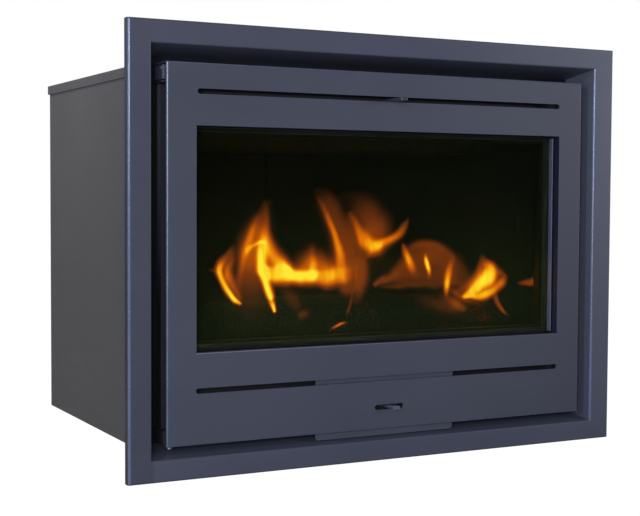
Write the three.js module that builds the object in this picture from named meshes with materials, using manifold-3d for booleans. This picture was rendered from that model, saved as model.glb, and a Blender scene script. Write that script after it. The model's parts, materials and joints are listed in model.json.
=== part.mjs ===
// Built-in fireplace insert: a trim frame with a splayed recess, a glazed door on pin
// hinges, a welded firebox lined with brick, and a convection casing round it.
// Millimetres, +Z up, +X to the right seen from the front, +Y into the wall.
// The origin is the middle of the casing's underside.
import * as THREE from 'three'
import { mergeVertices } from 'three/addons/utils/BufferGeometryUtils.js'
import Module from 'manifold-3d'

const wasm = await Module()
wasm.setup()

// ---- driving dimensions -------------------------------------------------------------
const gap = 0.3 // air left between pieces that touch

// planes from front to back
const frameFront = -244
const doorFront = -237.5
const wallPlane = -230 // rear edge of the frame's outer fold, which meets the wall
const seatPlane = -190 // rear end of the recess, where the door seals
const seatSheet = 5
const casingRear = 230

// trim frame
const frameSheet = 3
const frameOuter = { x0: -380, x1: 380, z0: -31, z1: 551 }
const frameInner = { x0: -349, x1: 345, z0: -2, z1: 521 }
const recessSplay = 12 // how far each recess wall leans in over its depth
const foldRadius = 3

// door
const facade = { x0: -327, x1: 327, z0: 11.5, z1: 500.5 }
const facadeSheet = 4
const windowCut = { x0: -286.5, x1: 286.5, z0: 130.5, z1: 421 }
const windowReturn = 11.5 // depth of the fold round the window
const topReturn = 44.5 // depth of the fold along the top edge
const slotHeight = 7
const upperSlot = { x0: -285, x1: 287, z: 464.3 }
const lowerSlot = { x0: -287, x1: 288, z: 81.4 }
const leverSlot = { x0: -23, x1: 23.5, z: 41.8 }
const coverPlate = { x0: -112, x1: 107, z0: 2.2, z1: 96 }
const coverSheet = 2

// door's inner frame, glass and seals
const innerFront = -206
const innerRear = -192.5
const innerFrame = { x0: -323, x1: 323, z0: 15, z1: 496 }
const innerWindow = { x0: -276, x1: 276, z0: 141, z1: 411 }
const glassFront = -217
const glassThick = 4
const glassEdge = { x0: -291, x1: 291, z0: 126, z1: 426 }
const trimFront = -225.7
const trimSheet = 2
const sealRadius = 5

// hinge
const hingeX = -316
const hingeY = -216
const pinRadius = 4
const boreRadius = 4.35

// air slides
const slideSheet = 2
const leverWidth = 10
const leverThick = 4.4
const upperLeverTip = -269
const lowerLeverTip = -251
const upperLeverX = 2
const lowerLeverX = 4.4

// firebox
const boxHalf = 310 // half its outer width
const boxSheet = 4
const boxFloor = 56
const boxTop = 470.3
const boxBack = 196.3
const brick = 30
const hearthTop = boxFloor + boxSheet + gap + brick
const wellHalfX = 119.4
const wellHalfY = 69.4
const linerTop = 400
const linerFront = -150
const fireOpening = { x0: -295, x1: 295, z0: 62, z1: 475 }

// casing
const casingHalf = 343.5
const casingSheet = 2
const lidTop = 500
const lidLip = 13

// flue
const flueY = 70
const flueRadius = 90
const flueRise = 60

// ---- materials ----------------------------------------------------------------------
const paint = (color, roughness, metalness) => () =>
  new THREE.MeshStandardMaterial({ color, roughness, metalness })
const satinSteel = paint(0x4b4e5c, 0.45, 0.3)
const darkSteel = paint(0x25262b, 0.6, 0.3)
const casingSteel = paint(0x565658, 0.5, 0.4)
const bareSteel = paint(0x9a9da3, 0.35, 0.9)
const trimSteel = paint(0x6c7080, 0.35, 0.6)
const ironBlack = paint(0x2a2a2c, 0.75, 0.2)
const ceramicGlass = paint(0x0c1008, 0.05, 0)
const ropeGrey = paint(0x3a3a3c, 0.95, 0)
const fireBrick = paint(0x8c7a66, 0.95, 0)
const boardTan = paint(0xa08c62, 0.95, 0)
const charredBark = paint(0x1d1815, 0.95, 0)
const flameGold = paint(0xe8891c, 0.7, 0)

const fireplace = new THREE.Group()

function add(name, geometry, material) {
  const mesh = new THREE.Mesh(geometry, material())
  mesh.name = name
  fireplace.add(mesh)
}

// ---- solids -------------------------------------------------------------------------
function toSolid(geometry) {
  let source = geometry.clone()
  for (const key of Object.keys(source.attributes)) {
    if (key !== 'position') source.deleteAttribute(key)
  }
  source = mergeVertices(source, 1e-4)
  return new wasm.Manifold(new wasm.Mesh({
    numProp: 3,
    vertProperties: new Float32Array(source.attributes.position.array),
    triVerts: new Uint32Array(source.index.array),
  }))
}

function toGeometry(solid) {
  const mesh = solid.getMesh()
  const geometry = new THREE.BufferGeometry()
  geometry.setAttribute('position', new THREE.BufferAttribute(mesh.vertProperties, 3))
  geometry.setIndex(new THREE.BufferAttribute(mesh.triVerts, 1))
  return geometry
}

function join(...geometries) {
  const [first, ...rest] = geometries.map(toSolid)
  return toGeometry(rest.reduce((whole, piece) => whole.add(piece), first))
}

function cut(geometry, ...tools) {
  return toGeometry(tools.reduce((left, tool) => left.subtract(toSolid(tool)), toSolid(geometry)))
}

function box(x0, x1, y0, y1, z0, z1) {
  const geometry = new THREE.BoxGeometry(x1 - x0, y1 - y0, z1 - z0)
  geometry.translate((x0 + x1) / 2, (y0 + y1) / 2, (z0 + z1) / 2)
  return geometry
}

function grow(rect, by) {
  return { x0: rect.x0 - by, x1: rect.x1 + by, z0: rect.z0 - by, z1: rect.z1 + by }
}

function rectPath(rect, target) {
  target.moveTo(rect.x0, rect.z0)
  target.lineTo(rect.x1, rect.z0)
  target.lineTo(rect.x1, rect.z1)
  target.lineTo(rect.x0, rect.z1)
  target.closePath()
  return target
}

function roundEndPath(slot, height, target) {
  const r = height / 2
  target.moveTo(slot.x0 + r, slot.z - r)
  target.lineTo(slot.x1 - r, slot.z - r)
  target.absarc(slot.x1 - r, slot.z, r, -Math.PI / 2, Math.PI / 2, false)
  target.lineTo(slot.x0 + r, slot.z + r)
  target.absarc(slot.x0 + r, slot.z, r, Math.PI / 2, Math.PI * 1.5, false)
  return target
}

function circlePath(x, z, r) {
  return new THREE.Path().absarc(x, z, r, 0, Math.PI * 2, false)
}

// upright plate: an outline in X and Z, from y0 back to y1
function upright(shape, y0, y1) {
  const geometry = new THREE.ExtrudeGeometry(shape, {
    depth: y1 - y0, bevelEnabled: false, curveSegments: 8,
  })
  geometry.rotateX(Math.PI / 2)
  geometry.translate(0, y1, 0)
  return geometry
}

function uprightPlate(rect, y0, y1, holes = []) {
  const shape = rectPath(rect, new THREE.Shape())
  shape.holes.push(...holes)
  return upright(shape, y0, y1)
}

// level plate: an outline in X and Y, from z0 up to z1
function levelPlate(x0, x1, y0, y1, z0, z1, holes = []) {
  const shape = rectPath({ x0, x1, z0: y0, z1: y1 }, new THREE.Shape())
  shape.holes.push(...holes)
  const geometry = new THREE.ExtrudeGeometry(shape, {
    depth: z1 - z0, bevelEnabled: false, curveSegments: 16,
  })
  geometry.translate(0, 0, z0)
  return geometry
}

// a closed section carried round a rectangle with mitred corners: each station is a
// rectangle at a depth y, and the stations run once round the section
function mitredRing(stations) {
  const corners = stations.map(({ rect, y }) => [
    [rect.x0, y, rect.z0], [rect.x1, y, rect.z0], [rect.x1, y, rect.z1], [rect.x0, y, rect.z1],
  ])
  const points = []
  const push = (...quad) => points.push(...quad[0], ...quad[1], ...quad[2],
    ...quad[0], ...quad[2], ...quad[3])
  for (let i = 0; i < corners.length; i++) {
    const next = corners[(i + 1) % corners.length]
    for (let k = 0; k < 4; k++) {
      const m = (k + 1) % 4
      push(corners[i][k], corners[i][m], next[m], next[k])
    }
  }
  const geometry = new THREE.BufferGeometry()
  geometry.setAttribute('position', new THREE.Float32BufferAttribute(points, 3))
  return facingOut(geometry)
}

function facingOut(geometry) {
  const p = geometry.attributes.position
  const [a, b, c] = [new THREE.Vector3(), new THREE.Vector3(), new THREE.Vector3()]
  let volume = 0
  for (let i = 0; i < p.count; i += 3) {
    a.fromBufferAttribute(p, i)
    b.fromBufferAttribute(p, i + 1)
    c.fromBufferAttribute(p, i + 2)
    volume += a.dot(b.cross(c))
  }
  if (volume > 0) return geometry
  for (let i = 0; i < p.count; i += 3) {
    b.fromBufferAttribute(p, i + 1)
    c.fromBufferAttribute(p, i + 2)
    p.setXYZ(i + 1, c.x, c.y, c.z)
    p.setXYZ(i + 2, b.x, b.y, b.z)
  }
  return geometry
}

function rod(axis, r, from, to, across, sides = 24) {
  const geometry = new THREE.CylinderGeometry(r, r, to - from, sides)
  const middle = (from + to) / 2
  if (axis === 'z') geometry.rotateX(Math.PI / 2).translate(across[0], across[1], middle)
  if (axis === 'y') geometry.translate(across[0], middle, across[1])
  if (axis === 'x') geometry.rotateZ(Math.PI / 2).translate(middle, across[0], across[1])
  return geometry
}

const hexHead = (axis, r, from, to, across) => rod(axis, r, from, to, across, 6)

// ---- trim frame ---------------------------------------------------------------------
// the recess at a depth, leaning in towards the seat plane
function recessAt(y) {
  return grow(frameInner, -recessSplay * (y - frameFront) / (seatPlane - frameFront))
}

const boltPlaces = {
  frame_bolt_low_left: [-350, 60],
  frame_bolt_high_left: [-350, 450],
  frame_bolt_low_right: [350, 60],
  frame_bolt_high_right: [350, 450],
}
const boltRadius = 3
const boltHole = 3.5
const earSheet = 3
const earHalfHeight = 14
const earReach = 7 // past the middle of its bolt

// ear welded to the outside of a recess wall, which a bolt holds to the seat plate
function frameEar([x, z]) {
  const throat = grow(recessAt(seatPlane), frameSheet / 2)
  const wall = x < 0 ? throat.x0 : throat.x1
  const tip = x + Math.sign(x) * earReach
  return box(Math.min(wall, tip), Math.max(wall, tip), seatPlane - gap - earSheet,
    seatPlane - gap, z - earHalfHeight, z + earHalfHeight)
}

function surroundFrame() {
  const hemFold = [0, 30, 60, 90].map((deg) => {
    const turn = THREE.MathUtils.degToRad(deg)
    return {
      rect: grow(frameOuter, -foldRadius + foldRadius * Math.cos(turn)),
      y: frameFront + foldRadius - foldRadius * Math.sin(turn),
    }
  })
  const openingFold = [90, 60, 30, 0].map((deg) => {
    const turn = THREE.MathUtils.degToRad(deg)
    return {
      rect: grow(frameInner, foldRadius - foldRadius * Math.cos(turn)),
      y: frameFront + foldRadius - foldRadius * Math.sin(turn),
    }
  })
  const backOfFlange = frameFront + frameSheet
  const sheet = mitredRing([
    ...hemFold,
    ...openingFold,
    { rect: recessAt(seatPlane - gap), y: seatPlane - gap },
    { rect: grow(recessAt(seatPlane - gap), frameSheet), y: seatPlane - gap },
    { rect: grow(recessAt(backOfFlange), frameSheet + 1), y: backOfFlange + 1 },
    { rect: grow(frameInner, frameSheet + 4), y: backOfFlange },
    { rect: grow(frameOuter, -frameSheet - 1), y: backOfFlange },
    { rect: grow(frameOuter, -frameSheet), y: backOfFlange + 1 },
    { rect: grow(frameOuter, -frameSheet), y: wallPlane },
    { rect: frameOuter, y: wallPlane },
  ])
  const places = Object.values(boltPlaces)
  return cut(join(sheet, ...places.map(frameEar)),
    ...places.map((at) => rod('y', boltHole, seatPlane - 10, seatPlane + 5, at, 16)))
}
add('surround_frame', surroundFrame(), satinSteel)

// ---- seat plate and the bolts that hold the trim frame to it -----------------------
const seatPlate = { x0: -358, x1: 358, z0: -12, z1: 528 }
const tongueSlot = { x0: 313, x1: 327, z0: 236, z1: 276 }

add('seat_plate', uprightPlate(seatPlate, seatPlane, seatPlane + seatSheet, [
  rectPath(fireOpening, new THREE.Path()),
  rectPath(tongueSlot, new THREE.Path()),
  ...Object.values(boltPlaces).map(([x, z]) => circlePath(x, z, boltHole)),
]), satinSteel)

// bolt with its nut
const [headRadius, headHeight, nutHeight, boltEnd] = [5, 4, 5, 7]
function frameBolt(at) {
  const headSeat = seatPlane + seatSheet + gap
  const nutSeat = seatPlane - earSheet - 2 * gap
  return join(
    rod('y', boltRadius, nutSeat - boltEnd, headSeat + 0.5, at, 12),
    hexHead('y', headRadius, headSeat, headSeat + headHeight, at),
    hexHead('y', headRadius, nutSeat - nutHeight, nutSeat, at))
}
for (const [name, place] of Object.entries(boltPlaces)) add(name, frameBolt(place), bareSteel)

// ---- casing -------------------------------------------------------------------------
const casingFront = seatPlane + seatSheet + gap
const sideInner = casingHalf - casingSheet
const panelRear = casingRear - 2.5

add('casing_base', levelPlate(-sideInner + gap, sideInner - gap, casingFront,
  panelRear - casingSheet - gap, 0, 2.5), casingSteel)
for (const [name, side] of [['casing_side_left', -1], ['casing_side_right', 1]]) {
  const [x0, x1] = side < 0 ? [-casingHalf, -sideInner] : [sideInner, casingHalf]
  add(name, box(x0, x1, casingFront, panelRear, 0, lidTop - 2.5), casingSteel)
}
add('casing_back', box(-sideInner + gap, sideInner - gap, panelRear - casingSheet, panelRear,
  0, lidTop - 2.5), casingSteel)

// lid with a lip turned down over the sides and back, open at the front
function casingLid() {
  const lipOuter = casingHalf + 2.5
  const lipInner = casingHalf + 0.5
  return cut(
    box(-lipOuter, lipOuter, casingFront, casingRear, lidTop - lidLip, lidTop),
    box(-lipInner, lipInner, casingFront - 5, casingRear - 2, lidTop - lidLip - 5, lidTop - 2.2),
    rod('z', flueRadius + 3, lidTop - 10, lidTop + 10, [0, flueY], 48))
}
add('casing_lid', casingLid(), casingSteel)

// ---- firebox ------------------------------------------------------------------------
const boxFront = casingFront
const boxInner = boxHalf - boxSheet
const sideBottom = boxFloor + boxSheet + gap

for (const [name, side] of [['firebox_side_left', -1], ['firebox_side_right', 1]]) {
  const [x0, x1] = side < 0 ? [-boxHalf, -boxInner] : [boxInner, boxHalf]
  add(name, box(x0, x1, boxFront, boxBack - gap, sideBottom, boxTop - gap), darkSteel)
}
add('firebox_back', box(-boxHalf, boxHalf, boxBack, boxBack + boxSheet, sideBottom,
  boxTop - gap), darkSteel)

const ashOpening = { x0: -108, x1: 108, z0: -58, z1: 58 }
add('firebox_floor', levelPlate(-boxHalf, boxHalf, boxFront, boxBack + boxSheet, boxFloor,
  boxFloor + boxSheet, [rectPath(ashOpening, new THREE.Path())]), darkSteel)
add('firebox_top', levelPlate(-boxHalf, boxHalf, boxFront, boxBack + boxSheet, boxTop,
  boxTop + boxSheet, [circlePath(0, flueY, flueRadius - 3)]), darkSteel)

function openTray(halfX, halfY, z0, z1, wall) {
  return cut(box(-halfX, halfX, -halfY, halfY, z0, z1),
    box(-halfX + wall, halfX - wall, -halfY + wall, halfY - wall, z0 + wall, z1 + 1))
}
const ashBox = { halfX: 116, halfY: 66, foot: 6, sheet: 3 }
const ashPan = { halfX: 105, halfY: 55, foot: 9.5, top: 50, sheet: 1.5 }
add('ash_box', openTray(ashBox.halfX, ashBox.halfY, ashBox.foot, boxFloor - gap, ashBox.sheet),
  darkSteel)
add('ash_pan', openTray(ashPan.halfX, ashPan.halfY, ashPan.foot, ashPan.top, ashPan.sheet),
  bareSteel)

// top-hat rails that hold the casing off the firebox
function casingRail(side) {
  const x0 = Math.min(side * (boxHalf + gap), side * (sideInner - gap))
  const x1 = Math.max(side * (boxHalf + gap), side * (sideInner - gap))
  const [sheet, y0, y1, z0, z1] = [2, 0, 40, 70, 440]
  const hollow = side < 0 ? [x0 + sheet, x1 + 1] : [x0 - 1, x1 - sheet]
  return cut(box(x0, x1, y0, y1, z0, z1),
    box(...hollow, y0 + sheet, y1 - sheet, z0 - 10, z1 + 10))
}
add('casing_rail_left', casingRail(-1), darkSteel)
add('casing_rail_right', casingRail(1), darkSteel)

function flueCollar() {
  const foot = boxTop + boxSheet + gap
  const bore = flueRadius - 3
  const [flange, flangeTop] = [flueRadius + 22, foot + 4]
  const profile = [[bore, foot], [flange, foot], [flange, flangeTop], [flueRadius, flangeTop],
    [flueRadius, lidTop + flueRise], [bore, lidTop + flueRise],
    [bore, foot]].map(([r, z]) => new THREE.Vector2(r, z))
  const geometry = new THREE.LatheGeometry(profile, 48)
  geometry.rotateX(Math.PI / 2).translate(0, flueY, 0)
  return geometry
}
add('flue_collar', flueCollar(), darkSteel)

// ---- lining, grate and baffle -------------------------------------------------------
const hearthBottom = boxFloor + boxSheet + gap
const hearthEnds = { front: -178, back: boxBack - gap }
const hearthSide = boxInner - gap
add('hearth_brick_left', box(-hearthSide, -wellHalfX - gap, hearthEnds.front, hearthEnds.back,
  hearthBottom, hearthTop), fireBrick)
add('hearth_brick_right', box(wellHalfX + gap, hearthSide, hearthEnds.front, hearthEnds.back,
  hearthBottom, hearthTop), fireBrick)
add('hearth_brick_front', box(-wellHalfX, wellHalfX, hearthEnds.front, -wellHalfY - gap,
  hearthBottom, hearthTop), fireBrick)
add('hearth_brick_back', box(-wellHalfX, wellHalfX, wellHalfY + gap, hearthEnds.back,
  hearthBottom, hearthTop), fireBrick)

const linerBottom = hearthTop + gap
const linerInner = hearthSide - brick
const backLinerFront = boxBack - gap - brick
add('side_brick_left', box(-hearthSide, -linerInner, linerFront, hearthEnds.back,
  linerBottom, linerTop), fireBrick)
add('side_brick_right', box(linerInner, hearthSide, linerFront, hearthEnds.back,
  linerBottom, linerTop), fireBrick)
add('back_brick_left', box(-linerInner + gap, -gap / 2, backLinerFront, hearthEnds.back,
  linerBottom, linerTop), fireBrick)
add('back_brick_right', box(gap / 2, linerInner - gap, backLinerFront, hearthEnds.back,
  linerBottom, linerTop), fireBrick)

// cast fire grate with a skirt that stands on the floor plate's edge
function fireGrate() {
  const [halfX, halfY] = [wellHalfX - gap, wellHalfY - gap]
  const [rim, barCount, barHalf, barDepth] = [8, 9, 5, 12]
  const [holeX, holeY] = [halfX - rim, halfY - rim]
  const skirt = cut(box(-halfX, halfX, -halfY, halfY, hearthBottom, hearthTop),
    box(-holeX, holeX, -holeY, holeY, hearthBottom - 1, hearthTop + 1))
  const pitch = 2 * holeX / (barCount + 1)
  const bars = Array.from({ length: barCount }, (_, i) => {
    const x = -holeX + (i + 1) * pitch
    return box(x - barHalf, x + barHalf, -holeY - rim / 2, holeY + rim / 2,
      hearthTop - barDepth, hearthTop)
  })
  return join(skirt, ...bars)
}
add('fire_grate', fireGrate(), ironBlack)

const baffleBottom = linerTop + gap
add('baffle_plate', box(-hearthSide, hearthSide, -40, hearthEnds.back, baffleBottom,
  baffleBottom + 25), boardTan)

// fence that keeps logs off the glass: two rails on posts
function logGuard() {
  const [y0, y1] = [-172, -164]
  const [half, railHeight, postHalf, postHeight, postPitch] = [268, 7, 4, 44, 130]
  const foot = hearthTop + gap
  const rails = [foot + 14, foot + 40].map((z) => box(-half, half, y0, y1, z, z + railHeight))
  const posts = [-2, -1, 0, 1, 2].map((i) => box(i * postPitch - postHalf, i * postPitch + postHalf,
    y0 + 0.5, y1 - 0.5, foot, foot + postHeight))
  return join(...rails, ...posts)
}
add('log_guard', logGuard(), ironBlack)

// ---- fire ---------------------------------------------------------------------------
// thick log that lies on the hearth behind the guard; each station is x and radius
const frontLog = {
  front: -161,
  stations: [[-222, 47], [-212, 50], [-150, 51], [90, 51], [252, 45], [264, 42]],
  sides: 24,
}

function layLog(grown = 0) {
  const foot = hearthTop + gap
  const rings = frontLog.stations.map(([x, r]) =>
    Array.from({ length: frontLog.sides }, (_, i) => {
      const turn = 2 * Math.PI * i / frontLog.sides
      const reach = r + grown
      return [x, frontLog.front + r + reach * Math.cos(turn), foot + r + reach * Math.sin(turn)]
    }))
  const points = []
  for (let k = 0; k < frontLog.sides; k++) {
    const m = (k + 1) % frontLog.sides
    for (let i = 0; i + 1 < rings.length; i++) {
      points.push(...rings[i][k], ...rings[i + 1][k], ...rings[i + 1][m],
        ...rings[i][k], ...rings[i + 1][m], ...rings[i][m])
    }
  }
  for (let k = 1; k + 1 < frontLog.sides; k++) {
    const [first, last] = [rings[0], rings[rings.length - 1]]
    points.push(...first[0], ...first[k], ...first[k + 1], ...last[0], ...last[k + 1], ...last[k])
  }
  const geometry = new THREE.BufferGeometry()
  geometry.setAttribute('position', new THREE.Float32BufferAttribute(points, 3))
  return facingOut(geometry)
}
add('log_front', layLog(), charredBark)

// thinner log that leans on the thick one, with its far end down on the hearth
const upperLog = { radius: 21.5, from: [60, -130, 229.3], to: [20, 150, 110.4], sides: 20 }

function leanLog() {
  const [from, to] = [new THREE.Vector3(...upperLog.from), new THREE.Vector3(...upperLog.to)]
  const run = to.clone().sub(from)
  const geometry = new THREE.CylinderGeometry(upperLog.radius, upperLog.radius, run.length(),
    upperLog.sides)
  geometry.applyQuaternion(new THREE.Quaternion().setFromUnitVectors(
    new THREE.Vector3(0, 1, 0), run.normalize()))
  const middle = from.add(to).divideScalar(2)
  return geometry.translate(middle.x, middle.y, middle.z)
}
add('log_upper', leanLog(), charredBark)

// flames: one thin upright sheet that rises from the thick log, joined along its foot;
// each tongue is a line of x, z and half width
const flameFront = -151
const flameBack = -147
const flameTongues = [
  [[-186, 176, 6], [-201, 196, 4.7], [-212, 213, 5.5], [-217, 231, 6.3], [-210, 244, 5.5],
    [-198, 256, 2.4]],
  [[-170, 168, 14], [-171, 208, 22.3], [-167, 241, 22.3], [-159, 275, 15.2], [-152, 305, 7.2],
    [-149, 323, 2.4]],
  [[-137, 168, 6], [-141, 192, 6], [-147, 214, 11.2], [-150, 240, 16], [-149, 265, 13.6],
    [-148, 290, 8], [-149, 318, 2.4]],
  [[-155, 235, 12.8], [-135, 225, 14.5], [-112, 219, 12.1], [-79, 215, 12.2], [-48, 211, 11.5],
    [-19, 216, 7.5]],
  [[-74, 208, 11.4], [-75, 228, 9.8], [-74, 247, 5.7], [-75, 261, 1.6]],
  [[-24, 198, 11.6], [-23, 238, 18.2], [-26, 269, 18.2], [-39, 299, 15.6], [-52, 322, 9.8],
    [-65, 336, 3.3]],
  [[47, 254, 5], [31, 256, 11.7], [16, 265, 15], [5, 279, 12.5], [-5, 293, 9.1],
    [-15, 306, 3.3]],
  [[33, 260, 11.7], [23, 277, 15], [13, 296, 13.3], [1, 312, 5]],
  [[23, 254, 7.5], [41, 258, 7.6], [58, 268, 5.9], [72, 281, 4.2], [82, 296, 1.7]],
  [[11, 265, 7.5], [-2, 246, 6.6], [0, 223, 5.8], [2, 200, 5], [2, 168, 6]],
  [[109, 168, 22.2], [115, 215, 42.8], [120, 235, 44.5], [118, 253, 35.9], [113, 263, 18.8]],
  [[27, 201, 3.4], [44, 208, 5.9], [67, 213, 8.5], [95, 208, 10.2]],
  [[172, 165, 8.7], [192, 186, 10.5], [208, 197, 14], [219, 212, 16.7], [220, 226, 12.3],
    [215, 239, 2.6]],
  [[205, 168, 8], [223, 186, 7.9], [237, 196, 7.9], [248, 207, 5.3], [253, 213, 2.7]],
  [[144, 176, 8.6], [163, 172, 12.1], [183, 170, 10.4], [205, 168, 8]],
]
const flameFoot = { x0: -192, x1: 222, z0: 165, z1: 181 }
const tongueSteps = 14

// outline of a tongue, up its one side and down the other
function tongueOutline(line) {
  const curve = new THREE.CatmullRomCurve3(line.map((row) => new THREE.Vector3(...row)))
  const spots = curve.getPoints(tongueSteps)
  const sides = spots.map((spot, i) => {
    const [before, after] = [spots[Math.max(i - 1, 0)], spots[Math.min(i + 1, tongueSteps)]]
    const heading = new THREE.Vector2(after.x - before.x, after.y - before.y).normalize()
    const half = Math.max(spot.z, 1)
    return [[spot.x - heading.y * half, spot.y + heading.x * half],
      [spot.x + heading.y * half, spot.y - heading.x * half]]
  })
  return [...sides.map(([left]) => left), ...sides.map(([, right]) => right).reverse()]
}

function flameSheet() {
  const outlines = flameTongues.map((line) =>
    new wasm.CrossSection([tongueOutline(line)], 'NonZero'))
  const { x0, x1, z0, z1 } = flameFoot
  const foot = new wasm.CrossSection([[[x0, z0], [x1, z0], [x1, z1], [x0, z1]]], 'NonZero')
  const outline = wasm.CrossSection.union([foot, ...outlines]).simplify(0.3)
  const sheet = toGeometry(outline.extrude(flameBack - flameFront))
  sheet.rotateX(Math.PI / 2).translate(0, flameBack, 0)
  return cut(sheet, layLog(0.5))
}
add('flames', flameSheet(), flameGold)

// ---- hinges -------------------------------------------------------------------------
const topBlock = [479, 497]
const topPin = [471, 496.3]
const topBracket = { outer: hingeX - 13, inner: hingeX - 7.4, reach: 9.6, z: [474.5, 477.5] }
const lowerBlock = [13, 31]
const lowerPin = [5.5, 30]
const blockX = [-326.5, -308]
const blockY = [-222.5, -206.5]
const gussetSheet = 3

// fixed bracket below the top block: a round end about the pin, on an arm that runs back
// beside the door's inner frame to the seat plate
function bracketPlate() {
  const { outer, inner, reach, z } = topBracket
  const plate = join(
    box(outer, hingeX, hingeY - 9, hingeY + 9.4, ...z),
    box(outer, inner, hingeY, seatPlane - gap, ...z),
    rod('z', reach, ...z, [hingeX, hingeY]))
  return cut(plate, rod('z', boreRadius, z[0] - 5, z[1] + 5, [hingeX, hingeY]))
}
add('hinge_bracket_top', bracketPlate(), darkSteel)

// the top pin's head is below its bracket
add('hinge_pin_top', join(
  rod('z', pinRadius, ...topPin, [hingeX, hingeY]),
  rod('z', 6, topPin[0], topBracket.z[0] - gap, [hingeX, hingeY])), bareSteel)

// the lower pin stands on the recess floor, with a collar that carries the door
add('hinge_pin_bottom', join(
  rod('z', pinRadius, ...lowerPin, [hingeX, hingeY]),
  rod('z', 7.5, lowerBlock[0] - 4.6, lowerBlock[0] - 0.4, [hingeX, hingeY])), bareSteel)

// door-side block with a bore, and a gusset plate back to the inner frame's side
function hingeBlock(z0, z1) {
  const block = box(...blockX, ...blockY, z0, z1)
  const gusset = box(blockX[0], blockX[0] + gussetSheet, blockY[1] - 0.5, innerRear - 1.5, z0, z1)
  return cut(join(block, gusset), rod('z', boreRadius, z0 - 5, z1 + 5, [hingeX, hingeY]))
}
// grub screw hole in the top block's outer side
const grubHole = { radius: 2.2, depth: 4.5, place: [-218.5, 493.3] }
add('hinge_block_top', cut(hingeBlock(...topBlock), rod('x', grubHole.radius, blockX[0] - 1,
  blockX[0] + grubHole.depth, grubHole.place, 16)), trimSteel)
add('hinge_block_bottom', hingeBlock(...lowerBlock), trimSteel)

// ---- door ---------------------------------------------------------------------------
const facadeBack = doorFront + facadeSheet

function doorFacade() {
  const sheet = uprightPlate(facade, doorFront, facadeBack, [
    rectPath(windowCut, new THREE.Path()),
    roundEndPath(upperSlot, slotHeight, new THREE.Path()),
    roundEndPath(lowerSlot, slotHeight, new THREE.Path()),
    roundEndPath(leverSlot, slotHeight, new THREE.Path()),
  ])
  const windowFold = uprightPlate(grow(windowCut, 2.5), facadeBack - 1, doorFront + windowReturn,
    [rectPath(windowCut, new THREE.Path())])
  const topFold = box(facade.x0, facade.x1, facadeBack - 1, doorFront + topReturn,
    facade.z1 - 2.5, facade.z1)
  return join(sheet, windowFold, topFold)
}
add('door_facade', doorFacade(), satinSteel)

// ports in the inner frame that the two air slides open and close
const portCount = 6
const portPitch = 72
const portLength = 36
const upperPortZ = 450
const lowerPortZ = 48
const portHeight = 9

function portPaths(z, shift) {
  const first = -portPitch * (portCount - 1) / 2
  return Array.from({ length: portCount }, (_, i) => {
    const x = first + i * portPitch + shift
    return roundEndPath({ x0: x - portLength / 2, x1: x + portLength / 2, z }, portHeight,
      new THREE.Path())
  })
}

add('door_inner_frame', uprightPlate(innerFrame, innerFront, innerRear, [
  rectPath(innerWindow, new THREE.Path()),
  ...portPaths(upperPortZ, 0),
  ...portPaths(lowerPortZ, 0),
]), trimSteel)

const facadeSpacers = {
  facade_spacer_low_left: [-309, 60],
  facade_spacer_high_left: [-309, 440],
  facade_spacer_low_right: [309, 60],
  facade_spacer_high_right: [309, 440],
}
for (const [name, place] of Object.entries(facadeSpacers)) {
  add(name, rod('y', 5, facadeBack + gap, innerFront - gap, place, 16), darkSteel)
}

const glassBack = glassFront + glassThick
add('door_glass', uprightPlate(glassEdge, glassFront, glassBack), ceramicGlass)

// steel retainer: a lip that shows inside the window, and a flange over the glass edge
function glassTrim() {
  const lip = grow(windowCut, -3)
  const flange = grow(windowCut, 11)
  const foot = innerFront - gap
  return mitredRing([
    { rect: lip, y: trimFront },
    { rect: lip, y: glassFront - gap },
    { rect: grow(flange, -trimSheet), y: glassFront - gap },
    { rect: grow(flange, -trimSheet), y: foot },
    { rect: flange, y: foot },
    { rect: flange, y: glassFront - gap - trimSheet },
    { rect: grow(lip, trimSheet), y: glassFront - gap - trimSheet },
    { rect: grow(lip, trimSheet), y: trimFront },
  ])
}
add('glass_trim', glassTrim(), trimSteel)

// a soft seal of round section laid round a rectangle
function roundSeal(rect, middle, radius, depthRadius) {
  const sides = 10
  return mitredRing(Array.from({ length: sides }, (_, i) => {
    const turn = 2 * Math.PI * i / sides + Math.PI / sides
    return { rect: grow(rect, radius * Math.cos(turn)), y: middle + depthRadius * Math.sin(turn) }
  }))
}
const tapeHalf = (innerFront - glassBack) / 2 - gap
add('glass_seal', roundSeal(grow(innerWindow, 8), (innerFront + glassBack) / 2, sealRadius,
  tapeHalf), ropeGrey)
const doorSealHalf = (seatPlane - innerRear) / 2 - gap
add('door_seal', roundSeal({ x0: -306, x1: 304, z0: 30, z1: 484 },
  (innerRear + seatPlane) / 2, sealRadius, doorSealHalf), ropeGrey)

// cover plate behind the facade, hanging below its edge; its slot clears the lever
function airCover() {
  const r = 5
  const shape = new THREE.Shape()
  shape.moveTo(coverPlate.x0 + r, coverPlate.z0)
  shape.lineTo(coverPlate.x1 - r, coverPlate.z0)
  shape.absarc(coverPlate.x1 - r, coverPlate.z0 + r, r, -Math.PI / 2, 0, false)
  shape.lineTo(coverPlate.x1, coverPlate.z1)
  shape.lineTo(coverPlate.x0, coverPlate.z1)
  shape.absarc(coverPlate.x0 + r, coverPlate.z0 + r, r, Math.PI, Math.PI * 1.5, false)
  const clear = { x0: leverSlot.x0 - 4, x1: leverSlot.x1 + 4, z0: leverSlot.z - 8, z1: leverSlot.z + 8 }
  shape.holes.push(rectPath(clear, new THREE.Path()))
  const back = facadeBack + 1 + coverSheet
  const studs = [-100, 95].map((x) => rod('y', 4, back - 1, innerFront - gap, [x, 84], 16))
  return join(upright(shape, facadeBack + 1, back), ...studs)
}
add('air_cover_plate', airCover(), satinSteel)

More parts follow.
